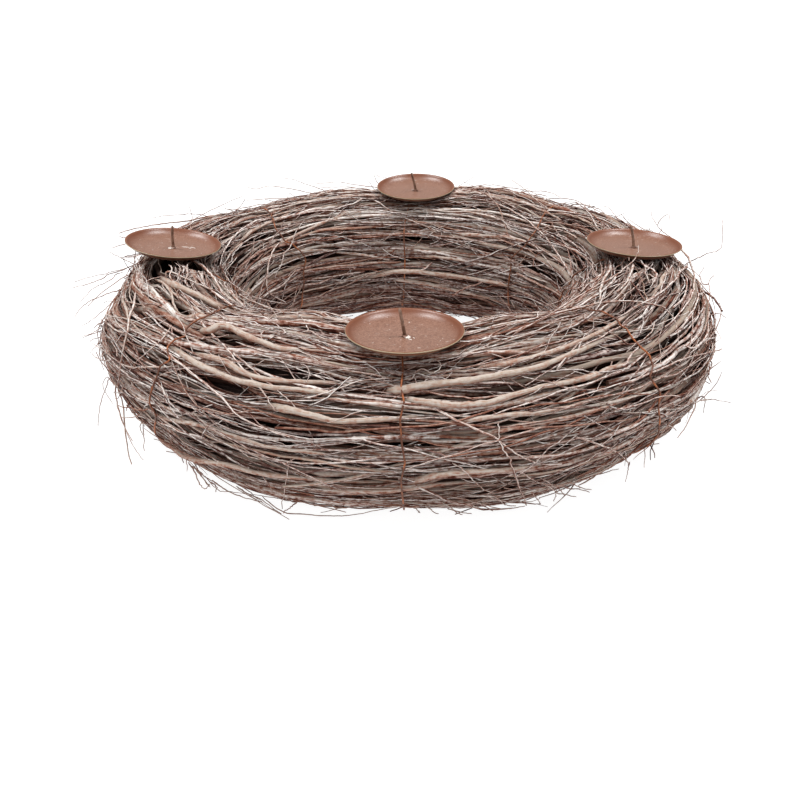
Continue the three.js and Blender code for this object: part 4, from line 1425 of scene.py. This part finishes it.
def lathe(name, profile, segments, edge=None):
    """A closed turned shape round Z. edge gives a value for each point of the profile."""
    mesh = bpy.data.meshes.new(name)
    turned = bmesh.new()
    layer = turned.verts.layers.float.new("edge")
    rings = []
    for step in range(segments):
        angle = TURN * step / segments
        ring = []
        for n, (radius, height) in enumerate(profile):
            vert = turned.verts.new((radius * math.cos(angle), radius * math.sin(angle), height))
            vert[layer] = edge[n] if edge else 0.0
            ring.append(vert)
        rings.append(ring)
    for step in range(segments):
        here, there = rings[step], rings[(step + 1) % segments]
        for n in range(len(profile)):
            m = (n + 1) % len(profile)
            turned.faces.new((here[n], there[n], there[m], here[m]))
    bmesh.ops.recalc_face_normals(turned, faces=turned.faces)
    for face in turned.faces:
        face.smooth = True
    turned.to_mesh(mesh)
    turned.free()
    return mesh


def seat(mesh, holder, finished):
    """A turned mesh as an object with its material, at its holder's place."""
    mesh.transform(holder_matrix(holder))
    mesh.materials.append(finished)
    return add_object(mesh.name, mesh)


def plate_profile(metal):
    """Section of a candle plate: flat floor, curved wall and rounded lip."""
    floor, wall = metal.floor / 2, metal.plate / 2 - metal.lip
    upper, under = [], []
    for step in range(WALL_STEPS + 1):
        slope = WALL_SLOPE * step / WALL_STEPS
        out = math.sin(slope) / math.sin(WALL_SLOPE)
        up = (1 - math.cos(slope)) / (1 - math.cos(WALL_SLOPE))
        radius = floor + (wall - floor) * out
        upper.append((radius, metal.depth * up))
        under.append((radius + metal.sheet * math.sin(slope),
                      metal.depth * up - metal.sheet * math.cos(slope)))
    half, top = metal.sheet / 2, WALL_SHADE_FULL * metal.depth
    lip = [
        (metal.plate / 2 - half + half * math.cos(a), metal.depth - half + half * math.sin(a))
        for a in map(math.radians, LIP_ANGLES)
    ]
    hole = metal.spike / 2 + HOLE_GAP
    middle = [hole + (floor - hole) * share for share in PLATE_FLOOR]
    profile = [(hole, -metal.sheet)] + [(r, -metal.sheet) for r in middle] + under[:-1] + lip
    profile += upper[::-1] + [(r, 0.0) for r in middle[::-1]] + [(hole, HOLE_EDGE)]
    # edge is 1 on the lip, for its wear, and rises up the wall for the wall's painted shade
    edge = [
        1.0 if radius > metal.plate / 2 - half else WALL_SHADE_MARK * min(1, max(0, height / top))
        for radius, height in profile
    ]
    return profile, edge


# Operators


class WREATH_OT_twigs(bpy.types.Operator):
    """Lays the bundles of whitewashed twigs, each with its side shoots and stray twigs"""

    bl_idname = "wreath.twigs"
    bl_label = "Twigs"

    def execute(self, context):
        twigs, metal, _ = settings()
        bark = material("whitewashed_brushwood_bark", bark_material)
        marked = self.landmarks(twigs.seed)
        for lane, lane_name in enumerate(LANES):
            starts = lane_starts(lane)
            for n in range(BUNDLES):
                rng = np.random.default_rng((twigs.seed, lane, n))
                span = (starts[n] * STATION, (starts[n + 1] + 0.5) * STATION)
                strands = bundle_strands(rng, lane, span, twigs, metal)
                strands += marked.get((lane, n), [])
                for place, stray in enumerate(STRAYS):
                    if grows_from(stray, lane, starts[n], starts[n + 1]):
                        points, radii = frame_stray(rng, stray, place < FURTHEST_STRAYS)
                        strands.append(strand(points, radii, 0.5, 0.9, stout=False))
                name = f"brushwood_{lane_name}_{n + 1}"
                piece = sweep(name, strands, bark, TWIG_SIDES, twigs.relief)
                settle(piece, "wreath", f"twigs_{lane_name}_{n + 1}")
        return {"FINISHED"}

    def landmarks(self, seed):
        """The twigs that catch the eye, by the bundle that each belongs to."""
        rng = np.random.default_rng((seed, LANDMARK_SEED))
        marked = {}
        fringe = [(FRINGE_RADIUS, LOOSE, pixels) for pixels in FRINGE]
        for landmark in (*LANDMARKS.values(), *fringe):
            twig, theta, phi = landmark_strand(rng, landmark)
            marked.setdefault(bundle_of(theta, phi), []).append(twig)
        return marked


class WREATH_OT_core(bpy.types.Operator):
    """Fills the ring round the hoop with unpainted twigs darkened to a painted shade, in four
    quarters
    """

    bl_idname = "wreath.core"
    bl_label = "Core twigs"

    def execute(self, context):
        twigs, metal, _ = settings()
        bark = material("bare_brushwood_bark", core_material)
        for quarter in range(4):
            rng = np.random.default_rng((twigs.seed, CORE_SEED + quarter))
            strands = self.quarter_strands(rng, quarter, twigs.core, metal)
            name = f"core_brushwood_{quarter + 1}"
            piece = sweep(name, strands, bark, CORE_SIDES, twigs.relief)
            settle(piece, "wreath", f"core_{quarter + 1}")
        return {"FINISHED"}

    def quarter_strands(self, rng, quarter, count, metal):
        """Twigs in rings round the hoop, most of them in the outer ring."""
        outer = rng.random(count) < OUTER_CORE
        rho = np.where(outer, CORE - CORE_DEPTH, rng.uniform(*CORE_INSIDE, count))
        start = (quarter + rng.uniform(*CORE_STARTS, count)) * TURN / 4
        end = (quarter + rng.uniform(*CORE_ENDS, count)) * TURN / 4
        phi = rng.uniform(0, TURN, count)
        laid = {
            "theta": start,
            "phi": phi,
            "heading": rng.normal(0, CORE_SPREAD, count),
            "curl": rng.normal(0, CORE_SPREAD, count),
            "follow": 0.5,
            "height": rho - TUBE,
            "bury": 0,
            "hidden_tip": 0,
            "rise": 0,
            "late": 1,
            "length": (end - start) * (RING + rho * np.cos(phi)),
            "radius": rng.uniform(*CORE_TWIG, count) * MM,
            "tip": np.full(count, 0.6),
            "tone": np.zeros(count),
            "wash": np.zeros(count),
        }
        points, radii = grow(rng, laid, CORE_STEPS, CORE_SPREAD, metal)
        return strands_of(points, radii, laid, True)


class WREATH_OT_hoop(bpy.types.Operator):
    """Gives the frame's wire hoop its finish"""

    bl_idname = "wreath.hoop"
    bl_label = "Hoop"

    def execute(self, context):
        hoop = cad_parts["hoop"]
        hoop.data.materials.clear()
        hoop.data.materials.append(material("annealed_iron_hoop_wire", hoop_material))
        return {"FINISHED"}


class WREATH_OT_bindings(bpy.types.Operator):
    """Winds the eight binding wires, each with its two ends twisted together"""

    bl_idname = "wreath.bindings"
    bl_label = "Binding wires"

    def execute(self, context):
        twigs, metal, _ = settings()
        rust = material("annealed_iron_wire_rusted", wire_material)
        for number in range(BINDINGS):
            rng = np.random.default_rng((twigs.seed, WIRE_SEED + number))
            base = number * TURN / BINDINGS
            strands = [self.loop(rng, number, base, metal)] + self.twisted_ends(base, metal)
            piece = sweep(f"binding_wire_{number + 1}", strands, rust, WIRE_SIDES, WIRE_RELIEF)
            settle(piece, "wreath", f"binding_{number + 1}")
        return {"FINISHED"}

    def loop(self, rng, number, base, metal):
        """The loop round the twigs, bent over each one and aside where the photograph has it."""
        phi = np.linspace(-TURN / 4, TURN * 3 / 4, WIRE_STEPS, endpoint=False)
        waves = sum(
            rng.normal(0, 1 / n) * np.sin(n * phi + rng.uniform(0, TURN)) for n in WAVES
        )
        dips = sum(rng.normal(0, 1) * np.sin(n * phi + rng.uniform(0, TURN)) for n in DIPS)
        even = BYPASS * np.maximum(0, np.sin(phi)) ** 2 + waves * WIRE_WAVE
        seen = np.array([on_ring(pixel, metal.wire)[:2] for pixel in WIRE_PATHS[number]])
        order = np.argsort((seen[:, 1] + TURN / 4) % TURN)
        at = ((seen[:, 1] + TURN / 4) % TURN - TURN / 4)[order]
        aside = np.interp(phi, at, apart(seen[order, 0], base))
        outside = np.maximum(np.maximum(at[0] - phi, phi - at[-1]), 0)
        share = np.exp(-((outside / WIRE_BLEND) ** 2))
        theta = base + aside * share + even * (1 - share)
        over = WIRE_PROUD + dips * WIRE_DIP - WIRE_SUNK * (1 - share)
        points = ring_point(theta, phi, surface_radius(theta, phi) + over)
        points[:, 2] = np.maximum(points[:, 2], metal.wire / 2)
        return strand(points, metal.wire / 2, closed=True)

    def twisted_ends(self, base, metal):
        """The two ends of the wire, turned round each other and laid along the loop."""
        share = np.linspace(0, 1, TWIST_STEPS)
        phi = TWIST_PLACE + share * metal.twist / TUBE
        strands = []
        for end in (0, math.pi):
            turn = end + share * TURN * TWIST_TURNS
            off = TWIST_APART * metal.wire * (1 + TWIST_SPLAY * share**3)
            theta = base + off * np.cos(turn) / RING
            rho = surface_radius(theta, phi) + TWIST_PROUD * metal.wire + off * np.sin(turn)
            strands.append(strand(ring_point(theta, phi, rho), metal.wire / 2))
        return strands


class WREATH_OT_plates(bpy.types.Operator):
    """Presses the four candle plates"""

    bl_idname = "wreath.plates"
    bl_label = "Candle plates"

    def execute(self, context):
        metal = settings()[1]
        coat = material("rust_brown_textured_powder_coat", coat_material)
        profile, edge = plate_profile(metal)
        for name in HOLDERS:
            mesh = lathe(f"candle_plate_{name}", profile, PLATE_SEGMENTS, edge)
            piece = seat(mesh, name, coat)
            settle(piece, f"holder_{name}", f"plate_{name}")
        return {"FINISHED"}


class WREATH_OT_spikes(bpy.types.Operator):
    """Draws the four spikes, bent a little where they stand free"""

    bl_idname = "wreath.spikes"
    bl_label = "Spikes"

    def execute(self, context):
        metal = settings()[1]
        steel = material("drawn_steel_light_rust", spike_material)
        for name in HOLDERS:
            bent = [self.bent(name, metal)]
            piece = sweep(f"candle_spike_{name}", bent, steel, SPIKE_SIDES, SPIKE_RELIEF)
            settle(piece, f"holder_{name}", f"spike_{name}")
        return {"FINISHED"}

    def bent(self, name, metal):
        """Centre line and thickness of a spike from its lower point to its upper one."""
        bends = (HOLDERS[name].bend_out, HOLDERS[name].bend_along)
        lean = Vector((*(math.tan(math.radians(angle)) for angle in bends), 1)).normalized()
        start = metal.weld_height + BEND_START
        free = metal.above - start
        low = [(-metal.below + up, share) for up, share in SPIKE_POINT]
        low += [(-metal.below + metal.point + n * 5 * MM, 1) for n in range(8)]
        points = [Vector((0, 0, z)) for z, _ in low] + [Vector((0, 0, start - 0.8 * MM))]
        radii = [metal.spike / 2 * share for _, share in low] + [metal.spike / 2]
        for share in np.linspace(0.08, 1, 18):
            along = share * free
            sag = SPIKE_SAG * math.sin(math.pi * share)
            points.append(Vector((sag, 0, start)) + lean * along)
            body = metal.spike / 2 + (metal.spike_tip - metal.spike) / 2 * share**0.5
            radii.append(body * min(1, BLUNT + (free - along) / metal.cut))
        matrix = holder_matrix(name)
        return strand(np.array([matrix @ point for point in points]), np.array(radii))


class WREATH_OT_welds(bpy.types.Operator):
    """Adds the pale lump of weld at the foot of each spike"""

    bl_idname = "wreath.welds"
    bl_label = "Welds"

    def execute(self, context):
        twigs, metal, _ = settings()
        pale = material("weld_metal_pale", weld_material)
        hole = metal.spike / 2 + HOLE_GAP
        height, radius = metal.weld_height, metal.weld / 2
        profile = [(hole, WELD_FOOT), (radius, WELD_FOOT)]
        profile += [(radius * out, height * up) for out, up in WELD_SHAPE] + [(hole, height)]
        for number, name in enumerate(HOLDERS):
            rng = np.random.default_rng((twigs.seed, WELD_SEED + number))
            mesh = lathe(f"spike_weld_{name}", profile, WELD_SEGMENTS)
            self.roughen(rng, mesh, hole, radius)
            self.spatter(mesh, name)
            piece = seat(mesh, name, pale)
            settle(piece, f"holder_{name}", f"weld_{name}")
        return {"FINISHED"}

    def spatter(self, mesh, name):
        """Adds the thin splashes of metal that lie on a plate's floor."""
        joined = bmesh.new()
        joined.from_mesh(mesh)
        for across, along, length, width, turn in SPATTER.get(name, ()):
            splash = lathe("splash", DOME, SPLASH_SEGMENTS, [1.0] * len(DOME))
            place = Matrix.Translation((across, along, SPATTER_SEAT))
            size = Matrix.Diagonal((length / 2, width / 2, SPATTER_HEIGHT, 1))
            splash.transform(place @ Matrix.Rotation(math.radians(turn), 4, "Z") @ size)
            joined.from_mesh(splash)
            bpy.data.meshes.remove(splash)
        joined.to_mesh(mesh)
        joined.free()

    def roughen(self, rng, mesh, hole, radius):
        """Makes the lump uneven round the spike, without touching the hole or the foot, and
        marks where it ran out to one side."""
        phases = rng.uniform(0, TURN, 4)
        marks = mesh.attributes["edge"].data
        for vert in mesh.vertices:
            reach = math.hypot(vert.co.x, vert.co.y)
            angle = math.atan2(vert.co.y, vert.co.x)
            share = max(0.0, (reach - hole) / (radius - hole))
            lumps = sum(math.sin(n * angle + phases[n - 2]) / n for n in (2, 3, 4, 5))
            run = max(0.0, math.cos(angle - math.pi / 4)) ** 2
            marks[vert.index].value = run * share
            scale = 1 - share * (WELD_DRAWN + WELD_LUMPS * lumps - WELD_RUN * run)
            vert.co.x *= scale
            vert.co.y *= scale


class WREATH_OT_stage(bpy.types.Operator):
    """Sets up the pale floor, the soft studio light and the camera"""

    bl_idname = "wreath.stage"
    bl_label = "Studio"

    def execute(self, context):
        self.floor()
        self.surroundings()
        for name, place, strength, angle in SOFTBOXES:
            self.softbox(name, place, strength, angle)
        self.camera()
        context.scene.view_settings.view_transform = "Standard"
        return {"FINISHED"}

    def floor(self):
        """A wide plain floor."""
        mesh = bpy.data.meshes.new("studio_floor")
        flat = bmesh.new()
        bmesh.ops.create_grid(flat, x_segments=8, y_segments=8, size=8)
        flat.to_mesh(mesh)
        flat.free()
        mesh.materials.append(material("matt_white_studio_floor", floor_material))
        add_object("studio_floor", mesh)

    def surroundings(self):
        """An even surround that fills the shadows, and looks as pale as the floor."""
        world = bpy.data.worlds.new("studio_surround")
        world.use_nodes = True
        world.node_tree.nodes.clear()
        node = functools.partial(add_node, world.node_tree)
        seen = node("ShaderNodeLightPath").outputs["Is Camera Ray"]
        strength = node(
            "ShaderNodeMapRange", {"Value": seen, "To Min": SURROUND, "To Max": SURROUND_SEEN}
        )
        light = node("ShaderNodeBackground", {"Color": rgba(WHITE), "Strength": strength})
        node("ShaderNodeOutputWorld", {"Surface": light})
        bpy.context.scene.world = world

    def softbox(self, name, place, strength, angle):
        """A wide soft light from far off, so that it falls evenly on the whole floor."""
        data = bpy.data.lights.new(f"{name}_softbox", "SUN")
        data.energy = strength
        data.angle = math.radians(angle)
        lamp = add_object(f"{name}_softbox", data)
        lamp.location = place
        lamp.rotation_euler = (-lamp.location).to_track_quat("-Z", "Y").to_euler()

    def camera(self):
        """The camera at the photograph's viewing angle."""
        data = bpy.data.cameras.new("camera")
        data.lens = CAMERA_LENS
        data.sensor_width = SENSOR
        data.clip_start = 0.01
        data.clip_end = 60
        camera = add_object("camera", data)
        camera.location = CAMERA_PLACE
        camera.rotation_euler = CAMERA_TURN.to_euler()
        bpy.context.scene.camera = camera


OPERATORS = (
    WREATH_OT_twigs,
    WREATH_OT_core,
    WREATH_OT_hoop,
    WREATH_OT_bindings,
    WREATH_OT_plates,
    WREATH_OT_spikes,
    WREATH_OT_welds,
    WREATH_OT_stage,
)
SETTINGS = {
    "wreath_twigs": TwigSettings,
    "wreath_metal": MetalSettings,
    "wreath_colours": ColourSettings,
}


class WREATH_PT_panel(bpy.types.Panel):
    """Lists the steps that build the wreath, with their sizes and colours"""

    bl_idname = "WREATH_PT_panel"
    bl_label = "Candle wreath"
    bl_space_type = "VIEW_3D"
    bl_region_type = "UI"
    bl_category = "Wreath"

    def draw(self, context):
        layout = self.layout
        for operator in OPERATORS:
            layout.operator(operator.bl_idname)
        for group_name in SETTINGS:
            group = getattr(context.scene, group_name)
            box = layout.box()
            for item in group.bl_rna.properties:
                if item.identifier not in ("rna_type", "name"):
                    box.prop(group, item.identifier)


def register():
    """Registers the settings, the operators and the panel."""
    for name, group in SETTINGS.items():
        bpy.utils.register_class(group)
        setattr(bpy.types.Scene, name, bpy.props.PointerProperty(type=group))
    for operator in OPERATORS:
        bpy.utils.register_class(operator)
    bpy.utils.register_class(WREATH_PT_panel)


def unregister():
    """Takes out what register put in."""
    bpy.utils.unregister_class(WREATH_PT_panel)
    for operator in reversed(OPERATORS):
        bpy.utils.unregister_class(operator)
    for name, group in SETTINGS.items():
        delattr(bpy.types.Scene, name)
        bpy.utils.unregister_class(group)


def main():
    """Builds every piece in order."""
    register()
    for operator in OPERATORS:
        group, action = operator.bl_idname.split(".")
        getattr(getattr(bpy.ops, group), action)()


if __name__ == "__main__":
    main()
